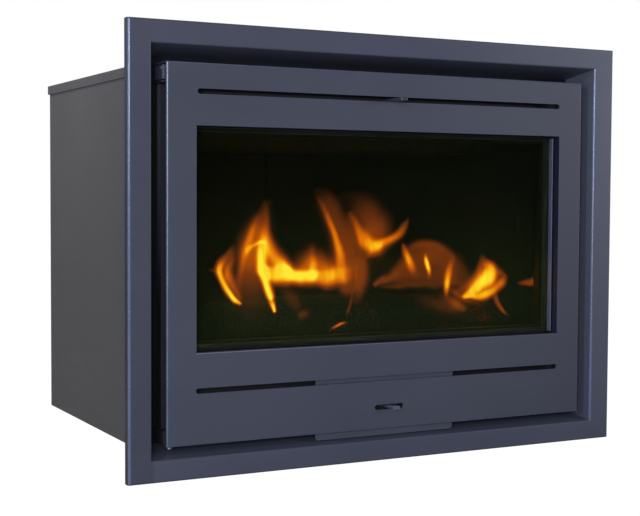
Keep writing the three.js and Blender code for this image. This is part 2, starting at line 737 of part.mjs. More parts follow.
// ---- air slides ---------------------------------------------------------------------
const slideBack = innerFront - gap
const slideFront = slideBack - slideSheet

function airSlide(z, halfHeight, halfLength) {
  const rect = { x0: -halfLength, x1: halfLength, z0: z - halfHeight, z1: z + halfHeight }
  return uprightPlate(rect, slideFront, slideBack, portPaths(z, portPitch / 4))
}

// folded frame that a slide runs in, with a lip over its long edges and a stop at each end
function slideGuide(z, halfHeight, halfLength) {
  const run = { x0: -halfLength, x1: halfLength, z0: z - halfHeight - gap, z1: z + halfHeight + gap }
  const lipBack = slideFront - gap
  return mitredRing([
    { rect: run, y: slideBack },
    { rect: grow(run, 4), y: slideBack },
    { rect: grow(run, 4), y: lipBack - 2 },
    { rect: grow(run, -3), y: lipBack - 2 },
    { rect: grow(run, -3), y: lipBack },
    { rect: run, y: lipBack },
  ])
}
const slideHalf = 225
const slideHalfHeight = 12
const guideHalf = 262
add('airwash_slide', airSlide(upperPortZ, slideHalfHeight, slideHalf), bareSteel)
add('airwash_guide', slideGuide(upperPortZ, slideHalfHeight, guideHalf), darkSteel)
add('primary_slide', airSlide(lowerPortZ, slideHalfHeight, slideHalf), bareSteel)
add('primary_guide', slideGuide(lowerPortZ, slideHalfHeight, guideHalf), darkSteel)

// cranked lever: a foot on its slide, a riser clear of the guide's lip, and a bar that
// comes out through the facade
function slideLever(x, barZ, foot, tip) {
  const [x0, x1] = [x - leverWidth / 2, x + leverWidth / 2]
  const [low, high] = [barZ - leverThick / 2, barZ + leverThick / 2]
  const back = slideFront - gap
  return join(
    box(x0, x1, back - 6, back, foot[0], foot[1]),
    box(x0, x1, back - 6, back - 3, Math.min(low, foot[0]), Math.max(high, foot[1])),
    box(x0, x1, tip, back - 4, low, high))
}
add('airwash_lever', slideLever(upperLeverX, 463.2, [443, 458], upperLeverTip), trimSteel)
add('primary_lever', slideLever(lowerLeverX, 41.4, [40, 56], lowerLeverTip), trimSteel)

// ---- door catch ---------------------------------------------------------------------
const catchZ = 256
const tongueX = 316
const tongueSheet = 3
const tongueHalf = 13
const tongueTip = -160
const tipTaper = 6

// flat tongue with a tapered tip, on the back of the door's inner frame
function catchTongue() {
  const outer = tongueX + tongueSheet
  const shape = new THREE.Shape()
  shape.moveTo(tongueX, innerRear + gap)
  shape.lineTo(outer, innerRear + gap)
  shape.lineTo(outer, tongueTip - tipTaper)
  shape.lineTo(outer - tongueSheet / 2, tongueTip)
  shape.lineTo(tongueX, tongueTip)
  shape.closePath()
  const geometry = new THREE.ExtrudeGeometry(shape, { depth: 2 * tongueHalf, bevelEnabled: false })
  return geometry.translate(0, 0, catchZ - tongueHalf)
}
add('catch_tongue', catchTongue(), bareSteel)

// sprung roller beside the tongue, on an axle that slides in the bracket's arms
const rollerX = 327.5
const rollerY = -171
const rollerRadius = 6
const rollerHalf = 8
const rollerTravel = 4
const axleRadius = 2
const axleHalf = 13
add('catch_roller', join(
  rod('z', rollerRadius, catchZ - rollerHalf, catchZ + rollerHalf, [rollerX, rollerY], 20),
  rod('z', axleRadius, catchZ - axleHalf, catchZ + axleHalf, [rollerX, rollerY], 12)), bareSteel)

function catchBracket() {
  const [foot, rear, sheet] = [casingFront + gap, -158, 2.6]
  const wall = rollerX + rollerRadius + rollerTravel + 0.9
  const back = box(wall, wall + sheet, foot, rear, catchZ - 20, catchZ + 20)
  const slack = axleRadius + 0.4
  const arms = [-1, 1].map((side) => {
    const z = catchZ + side * (rollerHalf + 2)
    return cut(box(rollerX - rollerRadius, wall + 1, foot + 4, rear - 2, z - 1.2, z + 1.2),
      box(rollerX - slack, rollerX + rollerTravel + slack, rollerY - slack, rollerY + slack,
        z - 3, z + 3))
  })
  return join(back, ...arms)
}
add('catch_bracket', catchBracket(), darkSteel)

export default fireplace
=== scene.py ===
import json
import math

import bmesh
import bpy
from mathutils import Matrix, Vector, noise


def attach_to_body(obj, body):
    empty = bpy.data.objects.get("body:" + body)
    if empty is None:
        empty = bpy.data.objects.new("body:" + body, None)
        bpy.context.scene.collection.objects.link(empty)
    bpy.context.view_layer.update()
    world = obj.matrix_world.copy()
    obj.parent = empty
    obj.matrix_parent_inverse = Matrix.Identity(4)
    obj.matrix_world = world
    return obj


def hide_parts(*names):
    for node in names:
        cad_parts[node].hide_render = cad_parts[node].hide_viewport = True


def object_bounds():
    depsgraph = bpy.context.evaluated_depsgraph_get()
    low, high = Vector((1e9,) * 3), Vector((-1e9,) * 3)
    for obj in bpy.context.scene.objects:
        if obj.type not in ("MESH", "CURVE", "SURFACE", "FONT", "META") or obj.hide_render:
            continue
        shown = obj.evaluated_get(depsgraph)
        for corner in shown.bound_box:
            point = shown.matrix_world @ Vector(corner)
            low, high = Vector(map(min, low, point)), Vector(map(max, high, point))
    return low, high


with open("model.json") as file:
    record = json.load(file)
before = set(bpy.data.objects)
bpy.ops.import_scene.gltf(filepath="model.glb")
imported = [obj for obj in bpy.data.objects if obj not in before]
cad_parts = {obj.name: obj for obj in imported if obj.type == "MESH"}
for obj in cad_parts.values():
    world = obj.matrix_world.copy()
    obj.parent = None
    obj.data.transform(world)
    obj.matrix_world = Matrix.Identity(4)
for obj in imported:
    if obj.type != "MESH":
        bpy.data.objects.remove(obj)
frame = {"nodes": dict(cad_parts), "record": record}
cadLow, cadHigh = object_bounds()
nodeSlots = {row["node"]: row["material_slot"] for row in frame["record"]["subparts"]}
bodyOfNode = {node: body for body, nodes in frame["record"]["behaviour"]["bodies"].items()
              for node in nodes}
print("stage: frame loaded", len(nodeSlots), "nodes")


def linked(name, data):
    piece = bpy.data.objects.new(name, data)
    bpy.context.collection.objects.link(piece)
    return piece


# fitted to the trim frame, the door, the window and the casing's edges
cameraFit = {
    "place": Vector((-0.918, -1.7892, 0.3345)),
    "yaw": math.radians(27.53),
    "pitch": math.radians(2.79),
    "roll": math.radians(0.30),
    "lens": 73.73,
    "sensor": 36.0,
    "width": 640,
    "height": 516,
}


def cameraAxes():
    yaw, pitch, roll = cameraFit["yaw"], cameraFit["pitch"], cameraFit["roll"]
    forward = Vector((math.sin(yaw) * math.cos(pitch), math.cos(yaw) * math.cos(pitch),
                      -math.sin(pitch)))
    right = Vector((math.cos(yaw), -math.sin(yaw), 0))
    up = right.cross(forward)
    return (right * math.cos(roll) + up * math.sin(roll),
            up * math.cos(roll) - right * math.sin(roll), forward)


def makeCamera():
    right, up, forward = cameraAxes()
    data = bpy.data.cameras.new("photoCamera")
    data.lens = cameraFit["lens"]
    data.sensor_width = cameraFit["sensor"]
    data.sensor_fit = "HORIZONTAL"
    data.clip_start = 0.05
    camera = linked("photoCamera", data)
    turn = Matrix((right, up, -forward)).transposed().to_4x4()
    camera.matrix_world = Matrix.Translation(cameraFit["place"]) @ turn
    bpy.context.scene.camera = camera


# the point at a depth along y that shows at a place in the picture
def atPixel(px, py, depth):
    right, up, forward = cameraAxes()
    focal = cameraFit["lens"] / cameraFit["sensor"] * cameraFit["width"]
    ray = (forward + right * ((px - cameraFit["width"] / 2) / focal)
           - up * ((py - cameraFit["height"] / 2) / focal))
    reach = (depth - cameraFit["place"].y) / ray.y
    return cameraFit["place"] + ray * reach


makeCamera()
bpy.context.scene.view_settings.view_transform = "Standard"
print("stage: camera")


# links and values for the inputs of a node
def plug(tree, node, sockets):
    for key, value in sockets.items():
        socket = node.inputs[key]
        if isinstance(value, bpy.types.NodeSocket):
            tree.links.new(value, socket)
        elif socket.type == "RGBA" and len(value) == 3:
            socket.default_value = (*value, 1)
        else:
            socket.default_value = value


def shade(tree, kind, sockets=None, **settings):
    made = tree.nodes.new(kind)
    for key, value in settings.items():
        setattr(made, key, value)
    plug(tree, made, sockets or {})
    return made


def startMaterial(name):
    material = bpy.data.materials.new(name)
    material.use_nodes = True
    tree = material.node_tree
    return material, tree, tree.nodes["Principled BSDF"]


def mixShaders(tree, outputName, share, first, second):
    both = shade(tree, "ShaderNodeMixShader", {
        0: share, 1: first.outputs[0], 2: second.outputs[0]})
    plug(tree, tree.nodes[outputName], {"Surface": both.outputs[0]})


def objectPlace(tree):
    return shade(tree, "ShaderNodeTexCoord").outputs["Object"]


def uvPlace(tree):
    return shade(tree, "ShaderNodeTexCoord").outputs["UV"]


def axesOf(tree, place):
    return shade(tree, "ShaderNodeSeparateXYZ", {0: place}).outputs


def stretched(tree, place, scale, turn=(0, 0, 0)):
    return shade(tree, "ShaderNodeMapping", {
        "Vector": place, "Scale": scale, "Rotation": turn}).outputs[0]


def grain(tree, place, scale, detail=3.0, roughness=0.5, distortion=0.0):
    return shade(tree, "ShaderNodeTexNoise", {
        "Vector": place, "Scale": scale, "Detail": detail, "Roughness": roughness,
        "Distortion": distortion}).outputs["Fac"]


def cellDistance(tree, place, scale, feature="F1"):
    return shade(tree, "ShaderNodeTexVoronoi", {"Vector": place, "Scale": scale},
                 feature=feature).outputs["Distance"]


def ramp(tree, value, stops):
    made = shade(tree, "ShaderNodeValToRGB", {"Fac": value})
    points = made.color_ramp.elements
    while len(points) < len(stops):
        points.new(0.5)
    for point, (position, colour) in zip(points, stops):
        point.position = position
        point.color = (*colour, 1)
    return made.outputs["Color"]


def spread(tree, value, low, high, fromLow=0.0, fromHigh=1.0):
    return shade(tree, "ShaderNodeMapRange", {
        "Value": value, "From Min": fromLow, "From Max": fromHigh,
        "To Min": low, "To Max": high}).outputs[0]


def sums(tree, kind, a, b):
    return shade(tree, "ShaderNodeMath", {0: a, 1: b}, operation=kind).outputs[0]


def times(tree, a, b):
    return sums(tree, "MULTIPLY", a, b)


def blendColour(tree, share, a, b):
    return shade(tree, "ShaderNodeMix", {0: share, 6: a, 7: b}, data_type="RGBA").outputs[2]


def bump(tree, height, strength, distance, under=None):
    sockets = {"Height": height, "Strength": strength, "Distance": distance}
    if under is not None:
        sockets["Normal"] = under
    return shade(tree, "ShaderNodeBump", sockets).outputs[0]


# a wash's share along one axis, from (place, share) to (place, share); where a middle is
# given, places are distances from it to both sides
def washRun(tree, axes, axis, start, end, middle=None):
    spot = axes[axis]
    if middle is not None:
        spot = sums(tree, "ABSOLUTE", sums(tree, "SUBTRACT", spot, middle), 0.0)
    return spread(tree, spot, start[1], end[1], start[0], end[0])


def paintMaterial(name, look):
    material, tree, surface = startMaterial(name)
    place = objectPlace(tree)
    colour = ramp(tree, grain(tree, place, 4.5, 4), [(0.32, look["deep"]), (0.68, look["pale"])])
    speck = spread(tree, grain(tree, place, 1500, 1), 0.0, 0.35, 0.55, 0.75)
    colour = blendColour(tree, speck, colour, look["speck"])
    # edges lightened and blued: rubbed paint and a painted highlight
    if "scuffAndHighlight" in look:
        scuffsAndHighlights = spread(tree, grain(tree, place, 45, 4), 0.7, 1.0, 0.35, 0.65)
        colour = blendColour(tree, scuffsAndHighlights, colour, look["scuffAndHighlight"])
    axes = axesOf(tree, place)
    # washes blend colours in along the axes, mostly as painted light and shade
    for wash in look.get("washes", []):
        share = washRun(tree, axes, *wash["runs"][0])
        for run in wash["runs"][1:]:
            share = times(tree, share, washRun(tree, axes, *run))
        colour = blendColour(tree, share, colour, wash["colour"])
    smear = grain(tree, stretched(tree, place, (5, 5, 22)), 1.5, 5, 0.6)
    rough = spread(tree, smear, look["rough"] - 0.03, look["rough"] + 0.04, 0.3, 0.7)
    waves = bump(tree, grain(tree, place, 9, 2), 0.02, 0.001)
    peel = bump(tree, grain(tree, place, look["peel"], 2), look["peelDepth"], 0.00012, waves)
    plug(tree, surface, {
        "Base Color": colour, "Roughness": rough, "Normal": peel, "Metallic": look["metal"],
        "Specular IOR Level": look["gloss"]})
    return material


# painted shading that grows towards the right of the front, and upwards from a share at its foot: a
# painted sheen on the frame, painted shade on the door
def paintedRightShading(colour, footShare):
    return {"colour": colour, "runs": [("X", (0.1, 0.0), (0.36, 0.5)),
                                       ("Z", (-0.03, footShare), (0.35, 1.0))]}


plainPaint = {"rough": 0.5, "peel": 900, "peelDepth": 0.4, "metal": 0.0, "gloss": 0.4}
framePaint = {
    **plainPaint, "deep": (0.036, 0.0378, 0.052), "pale": (0.041, 0.0428, 0.058),
    "speck": (0.06, 0.065, 0.085), "rough": 0.44, "peel": 1100, "peelDepth": 0.35, "gloss": 0.5}
trimPaint = {
    **framePaint, "deep": (0.075, 0.082, 0.115), "pale": (0.095, 0.105, 0.145),
    "speck": (0.13, 0.14, 0.19), "rough": 0.36, "peelDepth": 0.25, "metal": 0.3}
blackPaint = {
    **plainPaint, "deep": (0.010, 0.010, 0.012), "pale": (0.018, 0.018, 0.021),
    "speck": (0.03, 0.03, 0.034), "rough": 0.6, "peel": 800, "peelDepth": 0.5, "gloss": 0.3}
shadePaint = {
    **blackPaint, "deep": (0.003, 0.003, 0.0035), "pale": (0.006, 0.006, 0.007),
    "speck": (0.015, 0.015, 0.018), "rough": 0.75, "gloss": 0.12}
# painted shade: the casing darkens downwards and towards its front
casingPaint = {
    **plainPaint, "deep": (0.080, 0.075, 0.070), "pale": (0.090, 0.084, 0.079),
    "speck": (0.13, 0.13, 0.13), "washes": [
        {"colour": (0.030, 0.028, 0.025), "runs": [("Z", (0.0, 0.75), (0.52, 0.0))]},
        {"colour": (0.038, 0.035, 0.032), "runs": [("Y", (-0.19, 0.5), (0.08, 0.0))]}]}
# the inner frame's paint: darker downwards and on its front as painted shade, and darker inside its
# rim
innerShadingPaint = {
    **plainPaint, "deep": (0.080, 0.088, 0.125), "pale": (0.095, 0.105, 0.145),
    "speck": (0.13, 0.14, 0.19), "gloss": 0.3, "washes": [
        {"colour": (0.008, 0.008, 0.010), "runs": [("Z", (0.2, 0.95), (0.42, 0.0))]},
        {"colour": (0.006, 0.0062, 0.006), "runs": [("X", (0.300, 1.0), (0.312, 0.0), 0.0),
                                                    ("Z", (0.160, 1.0), (0.172, 0.0), 0.276)]},
        {"colour": (0.012, 0.012, 0.015), "runs": [("Y", (-0.2056, 1.0), (-0.2044, 0.0))]}]}


def steelMaterial(name):
    look = {"deep": (0.33, 0.33, 0.35), "pale": (0.5, 0.5, 0.52), "stain": (0.2, 0.18, 0.17),
            "rough": 0.3, "drawn": (30, 900, 900)}
    material, tree, surface = startMaterial(name)
    place = objectPlace(tree)
    lines = grain(tree, stretched(tree, place, look["drawn"]), 1, 3, 0.6)
    cloud = grain(tree, place, 9)
    colour = ramp(tree, lines, [(0.3, look["deep"]), (0.7, look["pale"])])
    colour = blendColour(tree, spread(tree, cloud, 0.0, 0.5, 0.5, 0.75), colour, look["stain"])
    rough = spread(tree, cloud, look["rough"], look["rough"] + 0.15, 0.3, 0.7)
    plug(tree, surface, {
        "Base Color": colour, "Roughness": rough, "Normal": bump(tree, lines, 0.25, 0.0002),
        "Metallic": 1.0})
    return material


def castMaterial(name):
    look = {"black": (0.008, 0.008, 0.009), "brown": (0.03, 0.026, 0.024)}
    material, tree, surface = startMaterial(name)
    place = objectPlace(tree)
    pits = grain(tree, place, 420, 4, 0.65)
    soot = ramp(tree, grain(tree, place, 16, 4), [(0.35, look["black"]), (0.7, look["brown"])])
    plug(tree, surface, {
        "Base Color": soot, "Roughness": spread(tree, pits, 0.65, 0.9, 0.3, 0.7),
        "Normal": bump(tree, pits, 0.6, 0.0008), "Metallic": 0.4})
    return material


def brickMaterial(name):
    look = {"dark": (0.014, 0.013, 0.009), "pale": (0.027, 0.025, 0.017),
            "soot": (0.006, 0.0062, 0.005), "sootFrom": 0.09, "sootTo": 0.4}
    material, tree, surface = startMaterial(name)
    place = objectPlace(tree)
    crumb = grain(tree, place, 260, 5, 0.65)
    patch = grain(tree, place, 11, 5, 0.6)
    clay = ramp(tree, crumb, [(0.3, look["dark"]), (0.7, look["pale"])])
    rise = spread(tree, axesOf(tree, place)["Z"], 0.55, 0.95, look["sootFrom"], look["sootTo"])
    share = sums(tree, "ADD", rise, spread(tree, patch, -0.25, 0.25, 0.3, 0.7))
    pits = times(tree, cellDistance(tree, place, 170), 0.5)
    plug(tree, surface, {
        "Base Color": blendColour(tree, share, clay, look["soot"]),
        "Roughness": spread(tree, patch, 0.86, 0.98, 0.3, 0.7),
        "Normal": bump(tree, sums(tree, "ADD", pits, crumb), 0.7, 0.0012)})
    return material


def boardMaterial(name):
    look = {"pale": (0.10, 0.085, 0.055), "dark": (0.06, 0.052, 0.034),
            "soot": (0.02, 0.018, 0.015)}
    material, tree, surface = startMaterial(name)
    place = objectPlace(tree)
    flakes = cellDistance(tree, place, 420)
    crumb = grain(tree, place, 90, 5)
    tan = ramp(tree, flakes, [(0.1, look["pale"]), (0.6, look["dark"])])
    soot = spread(tree, crumb, 0.2, 0.9, 0.35, 0.65)
    plug(tree, surface, {
        "Base Color": blendColour(tree, soot, tan, look["soot"]),
        "Roughness": spread(tree, crumb, 0.8, 0.97), "Normal": bump(tree, flakes, 0.5, 0.0009)})
    return material


def ropeMaterial(name):
    look = {"dark": (0.016, 0.016, 0.018), "pale": (0.1, 0.1, 0.105), "slant": 0.65,
            "strands": 3.2}
    material, tree, surface = startMaterial(name)
    uv = uvPlace(tree)
    strands = []
    for turn in (look["slant"], -look["slant"]):
        strands.append(shade(tree, "ShaderNodeTexWave", {
            "Vector": stretched(tree, uv, (1, 1, 1), (0, 0, turn)), "Scale": look["strands"],
            "Distortion": 0.4}).outputs["Fac"])
    fuzz = grain(tree, objectPlace(tree), 1400)
    height = sums(tree, "ADD", sums(tree, "MAXIMUM", *strands), times(tree, fuzz, 0.4))
    colour = ramp(tree, height, [(0.2, look["dark"]), (0.9, look["pale"])])
    plug(tree, surface, {
        "Base Color": colour, "Roughness": spread(tree, fuzz, 0.85, 1.0),
        "Normal": bump(tree, height, 0.9, 0.0012), "Sheen Weight": 0.3})
    return material


# smoked glass, with a film of soot that thickens towards its foot
def glassMaterial(name):
    look = {"tint": (0.33, 0.35, 0.27), "clear": (0.37, 0.38, 0.32), "film": (0.11, 0.15, 0.045),
            "footShare": 0.055, "topShare": 0.010, "foot": 0.12, "top": 0.34}
    material, tree, surface = startMaterial(name)
    place = objectPlace(tree)
    film = grain(tree, stretched(tree, place, (3, 3, 7)), 1.4, 4, 0.6)
    plug(tree, surface, {
        "Base Color": ramp(tree, film, [(0.3, look["tint"]), (0.7, look["clear"])]),
        "Roughness": spread(tree, film, 0.0, 0.03, 0.4, 0.75), "IOR": 1.08,
        "Transmission Weight": 1.0, "Normal": bump(tree, film, 0.04, 0.0004)})
    soot = shade(tree, "ShaderNodeBsdfDiffuse", {"Color": look["film"]})
    low = spread(tree, axesOf(tree, place)["Z"], look["footShare"], look["topShare"],
                 look["foot"], look["top"])
    share = times(tree, low, spread(tree, film, 0.8, 1.2, 0.3, 0.7))
    mixShaders(tree, "Material Output", share, surface, soot)
    return material


def logMaterial(name):
    look = {"char": [(0.3, (0.004, 0.004, 0.004)), (0.62, (0.018, 0.013, 0.009)),
                     (0.85, (0.06, 0.055, 0.05))],
            "glow": [(0.0, (0, 0, 0)), (0.4, (0.5, 0.05, 0.004)), (1.0, (1.0, 0.3, 0.03))],
            "strength": 0.35}
    material, tree, surface = startMaterial(name)
    uv = uvPlace(tree)
    bark = grain(tree, stretched(tree, uv, (1.2, 9, 1)), 2.5, 6, 0.65)
    cracks = cellDistance(tree, stretched(tree, uv, (6, 16, 1)), 1.6, "DISTANCE_TO_EDGE")
    seam = spread(tree, cracks, 1.0, 0.0, 0.0, 0.06)
    hot = spread(tree, grain(tree, objectPlace(tree), 17), 0.0, 1.0, 0.62, 0.78)
    glow = times(tree, times(tree, seam, hot), 0.7)
    furrows = times(tree, spread(tree, cracks, 0, 1, 0, 0.12), 0.6)
    plug(tree, surface, {
        "Base Color": ramp(tree, bark, look["char"]),
        "Emission Color": ramp(tree, glow, look["glow"]), "Emission Strength": look["strength"],
        "Roughness": spread(tree, bark, 0.75, 0.95),
        "Normal": bump(tree, sums(tree, "ADD", bark, furrows), 0.9, 0.003)})
    return material


def emberMaterial(name):
    look = {"ash": [(0.3, (0.012, 0.011, 0.01)), (0.75, (0.1, 0.095, 0.09))],
            "glow": [(0.0, (0, 0, 0)), (0.5, (0.45, 0.04, 0.003)), (1.0, (1.0, 0.28, 0.03))],
            "strength": 0.6}
    material, tree, surface = startMaterial(name)
    place = objectPlace(tree)
    lumps = grain(tree, place, 120, 5, 0.6)
    hot = spread(tree, grain(tree, place, 26), 0.0, 1.0, 0.52, 0.72)
    glow = times(tree, hot, spread(tree, lumps, 1.0, 0.0, 0.3, 0.6))
    plug(tree, surface, {
        "Base Color": ramp(tree, lumps, look["ash"]),
        "Emission Color": ramp(tree, glow, look["glow"]), "Emission Strength": look["strength"],
        "Roughness": spread(tree, lumps, 0.85, 1.0), "Normal": bump(tree, lumps, 0.8, 0.003)})
    return material


# the colour and the cover of a flame, by its heat
def flameMaterial(name):
    look = {"colours": [
        (0.0, (0.02, 0.006, 0.002)), (0.1, (0.043, 0.012, 0.003)), (0.2, (0.10, 0.023, 0.005)),
        (0.35, (0.174, 0.031, 0.005)), (0.5, (0.28, 0.046, 0.0034)),
        (0.65, (0.49, 0.082, 0.0006)), (0.8, (0.753, 0.165, 0.001)),
        (0.92, (0.973, 0.456, 0.005)), (1.0, (1.04, 0.80, 0.04))],
        "covers": [(0.0, 0), (0.1, 0.3), (0.2, 0.45), (0.35, 0.7), (0.5, 0.8), (0.8, 1)],
        "strength": 2.9}
    material, tree, surface = startMaterial(name)
    heat = shade(tree, "ShaderNodeAttribute", attribute_name="warmth").outputs["Fac"]
    wisps = grain(tree, stretched(tree, uvPlace(tree), (2.0, 0.4, 1)), 1.0, 3, 0.5, 0.6)
    lick = times(tree, heat, spread(tree, wisps, 0.93, 1.04, 0.3, 0.7))
    covers = [(position, (cover,) * 3) for position, cover in look["covers"]]
    plug(tree, surface, {
        "Base Color": (0, 0, 0), "Emission Color": ramp(tree, lick, look["colours"]),
        "Emission Strength": look["strength"], "Alpha": ramp(tree, lick, covers),
        "Roughness": 1.0, "Specular IOR Level": 0.0})
    return material


finishes = {
    "satin_steel": paintMaterial("satinSteel", framePaint),
    "casing_steel": paintMaterial("casingSteel", casingPaint),
    "dark_steel": paintMaterial("darkSteel", blackPaint),
    "trim_steel": paintMaterial("trimSteel", trimPaint),
    "bare_steel": steelMaterial("bareSteel"),
    "cast_iron": castMaterial("castIron"),
    "ceramic_glass": glassMaterial("ceramicGlass"),
    "rope_seal": ropeMaterial("ropeSeal"),
    "fire_brick": brickMaterial("fireBrick"),
    "fire_board": boardMaterial("fireBoard"),
    "log_bark": logMaterial("logBark"),
    "flame": flameMaterial("flame"),
}
emberFinish = emberMaterial("emberBed")
# the inner frame's paint, with its painted shade
innerShadingFinish = paintMaterial("innerShadingSteel", innerShadingPaint)
# painted shade: near-black paint for the seat plate and the glass trim, where shade falls
paintedShadeTrim = paintMaterial("paintedShadeTrim", shadePaint)
# painted shade and light on the trim frame: its left fold darkens downwards, and less so the flange
# beside it, and it lightens towards the right as a painted sheen
frameFinish = paintMaterial("frameSteel", {
    **framePaint, "deep": (0.040, 0.042, 0.060), "pale": (0.045, 0.0475, 0.067), "washes": [
        paintedRightShading((0.065, 0.069, 0.090), 0.1),
        {"colour": (0.003, 0.003, 0.004), "runs": [
            ("Z", (0.12, 0.95), (0.68, 0.0)), ("X", (-0.3775, 1.0), (-0.3765, 0.3)),
            ("X", (-0.349, 1.0), (-0.345, 0.0))]}]})
# painted shade: the door darkens towards its right
doorFinish = paintMaterial("doorSteel", {
    **framePaint, "washes": [paintedRightShading((0.023, 0.0235, 0.033), 1.0)]})
# painted shade: a dark violet paint for the window reveal's right face
revealShadeFinish = paintMaterial("revealShadeSteel", {
    **framePaint, "deep": (0.008, 0.008, 0.018), "pale": (0.013, 0.013, 0.026),
    "speck": (0.02, 0.02, 0.035), "gloss": 0.25})
# rounded edges, where the paint is thin and rubbed, lightened and blued as a painted highlight
edgeFinishes = {
    "satin_steel": paintMaterial("satinEdge", {
        **framePaint, "scuffAndHighlight": (0.078, 0.092, 0.142), "rough": 0.27, "gloss": 0.62,
        "peelDepth": 0.08}),
    "casing_steel": paintMaterial("casingEdge", {
        **casingPaint, "scuffAndHighlight": (0.16, 0.16, 0.16), "rough": 0.42}),
    "dark_steel": paintMaterial("darkEdge", {**blackPaint, "scuffAndHighlight": (0.04, 0.04, 0.045)}),
    "trim_steel": paintMaterial("trimEdge", {**trimPaint, "scuffAndHighlight": (0.16, 0.175, 0.23)}),
}
leverFinish = paintMaterial("leverSteel", {
    **blackPaint, "deep": (0.018, 0.019, 0.026), "pale": (0.028, 0.029, 0.038), "rough": 0.3,
    "gloss": 0.8, "peelDepth": 0.1})
# painted highlight for the window's bottom front edge
litEdge = paintMaterial("litEdge", {
    **framePaint, "scuffAndHighlight": (0.15, 0.16, 0.22), "rough": 0.4, "peelDepth": 0.1})


def setFinish(mesh, finish):
    mesh.materials.clear()
    mesh.materials.append(finish)


for node, piece in frame["nodes"].items():
    setFinish(piece.data, finishes[nodeSlots[node]])
print("stage: materials")


# the body that a piece rides on, and the node that it stands for
def attach(piece, body, node=None):
    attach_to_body(piece, body)
    if node:
        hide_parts(node)


def addPiece(name, mesh, finish, body, node=None):
    setFinish(mesh, finish)
    attach(linked(name, mesh), body, node)


def meshFrom(shape, name, outward=False):
    if outward:
        bmesh.ops.recalc_face_normals(shape, faces=shape.faces)
    mesh = bpy.data.meshes.new(name)
    shape.to_mesh(mesh)
    shape.free()
    return mesh


# smooth faces from one ring of corners to the next, with u running between them
def joinRings(shape, uvLayer, ring, following, u, nextU):
    sides = len(ring)
    for side in range(sides):
        after = (side + 1) % sides
        face = shape.faces.new((ring[side], ring[after], following[after], following[side]))
        face.smooth = True
        corners = ((u, side), (u, side + 1), (nextU, side + 1), (nextU, side))
        for loop, (along, around) in zip(face.loops, corners):
            loop[uvLayer].uv = (along, around / sides)


# a piece's mesh with its modifiers worked in
def settled(piece):
    graph = bpy.context.evaluated_depsgraph_get()
    mesh = bpy.data.meshes.new_from_object(piece.evaluated_get(graph), depsgraph=graph)
    piece.modifiers.clear()
    piece.data = mesh
    return mesh


# angles in degrees; a face counts as flat where its normal lies along an axis
skinRules = {"joinAngle": 0.6, "roundAngle": 35, "sharpAngle": 38, "segments": 2,
             "cornerSegments": 4, "flatNormal": 0.97, "near": 1e-5}


def softenCorners(shape, node):
    for look in softCorners.get(node, []):
        corners = [edge for edge in shape.edges
                   if all(abs(abs(vert.co[look["axis"]]) - look["at"]) < skinRules["near"]
                          and abs(vert.co.y - look["front"]) < skinRules["near"]
                          for vert in edge.verts)]
        bmesh.ops.bevel(shape, geom=corners, offset=look["radius"], profile=0.5,
                        segments=skinRules["cornerSegments"], affect="EDGES")


def paintPatches(mesh, node):
    for look in patches.get(node, []):
        mesh.materials.append(look["finish"])
        for face in mesh.polygons:
            spot = face.center
            turned = abs(face.normal[look["axis"]])
            if look["x"][0] < spot.x < look["x"][1] and look["z"][0] < spot.z < look["z"][1] \
                    and look["turned"][0] <= turned < look["turned"][1]:
                face.material_index = len(mesh.materials) - 1


# a CAD solid's own shape, with its flat faces joined and its edges rounded
def dressed(node, radius):
    mesh = frame["nodes"][node].data.copy()
    shape = bmesh.new()
    shape.from_mesh(mesh)
    bmesh.ops.remove_doubles(shape, verts=shape.verts, dist=1e-6)
    bmesh.ops.dissolve_limit(shape, angle_limit=math.radians(skinRules["joinAngle"]),
                             verts=shape.verts, edges=shape.edges)
    softenCorners(shape, node)
    shape.to_mesh(mesh)
    shape.free()
    setFinish(mesh, ownFinish.get(node, finishes[nodeSlots[node]]))
    piece = linked(node + "_skin", mesh)
    rounding = piece.modifiers.new("rounding", "BEVEL")
    rounding.width = radius
    rounding.segments = skinRules["segments"]
    rounding.limit_method = "ANGLE"
    rounding.angle_limit = math.radians(skinRules["roundAngle"])
    scuffsAndHighlights = nodeSlots[node] in edgeFinishes and (node in scuffedLitFolds or node not in ownFinish)
    if scuffsAndHighlights:
        mesh.materials.append(edgeFinishes[nodeSlots[node]])
    mesh = settled(piece)
    ranges = scuffedLitFolds.get(node, [(-1, 1)])
    for face in mesh.polygons:
        face.use_smooth = True
        flat = max(abs(part) for part in face.normal) >= skinRules["flatNormal"]
        if scuffsAndHighlights and not flat and any(low < face.center.x < high for low, high in ranges):
            face.material_index = 1
    paintPatches(mesh, node)
    mesh.set_sharp_from_angle(angle=math.radians(skinRules["sharpAngle"]))
    piece.modifiers.new("even", "WEIGHTED_NORMAL").keep_sharp = True
    settled(piece)
    attach(piece, bodyOfNode[node], node)


# the x ranges where a node's folds take the lighter edge paint: rubbed paint and a painted
# highlight
scuffedLitFolds = {"surround_frame": [(-0.381, -0.3745), (0.339, 0.352)], "door_facade": [(-1, 1)]}
# front edges with a wide radius: those at a distance along an axis
softCorners = {"door_facade": [
    {"axis": 0, "at": 0.327, "front": -0.2375, "radius": 0.0026},
    {"axis": 2, "at": 0.1305, "front": -0.2375, "radius": 0.0014},
    {"axis": 2, "at": 0.5005, "front": -0.2375, "radius": 0.0012}]}
# painted shade on the inner frame, the seat plate and the glass trim, painted sheen and shade on
# the frame and the door
ownFinish = {"door_inner_frame": innerShadingFinish, "seat_plate": paintedShadeTrim,
             "glass_trim": paintedShadeTrim, "hinge_block_bottom": finishes["dark_steel"],
             "surround_frame": frameFinish, "door_facade": doorFinish,
             "airwash_lever": leverFinish}
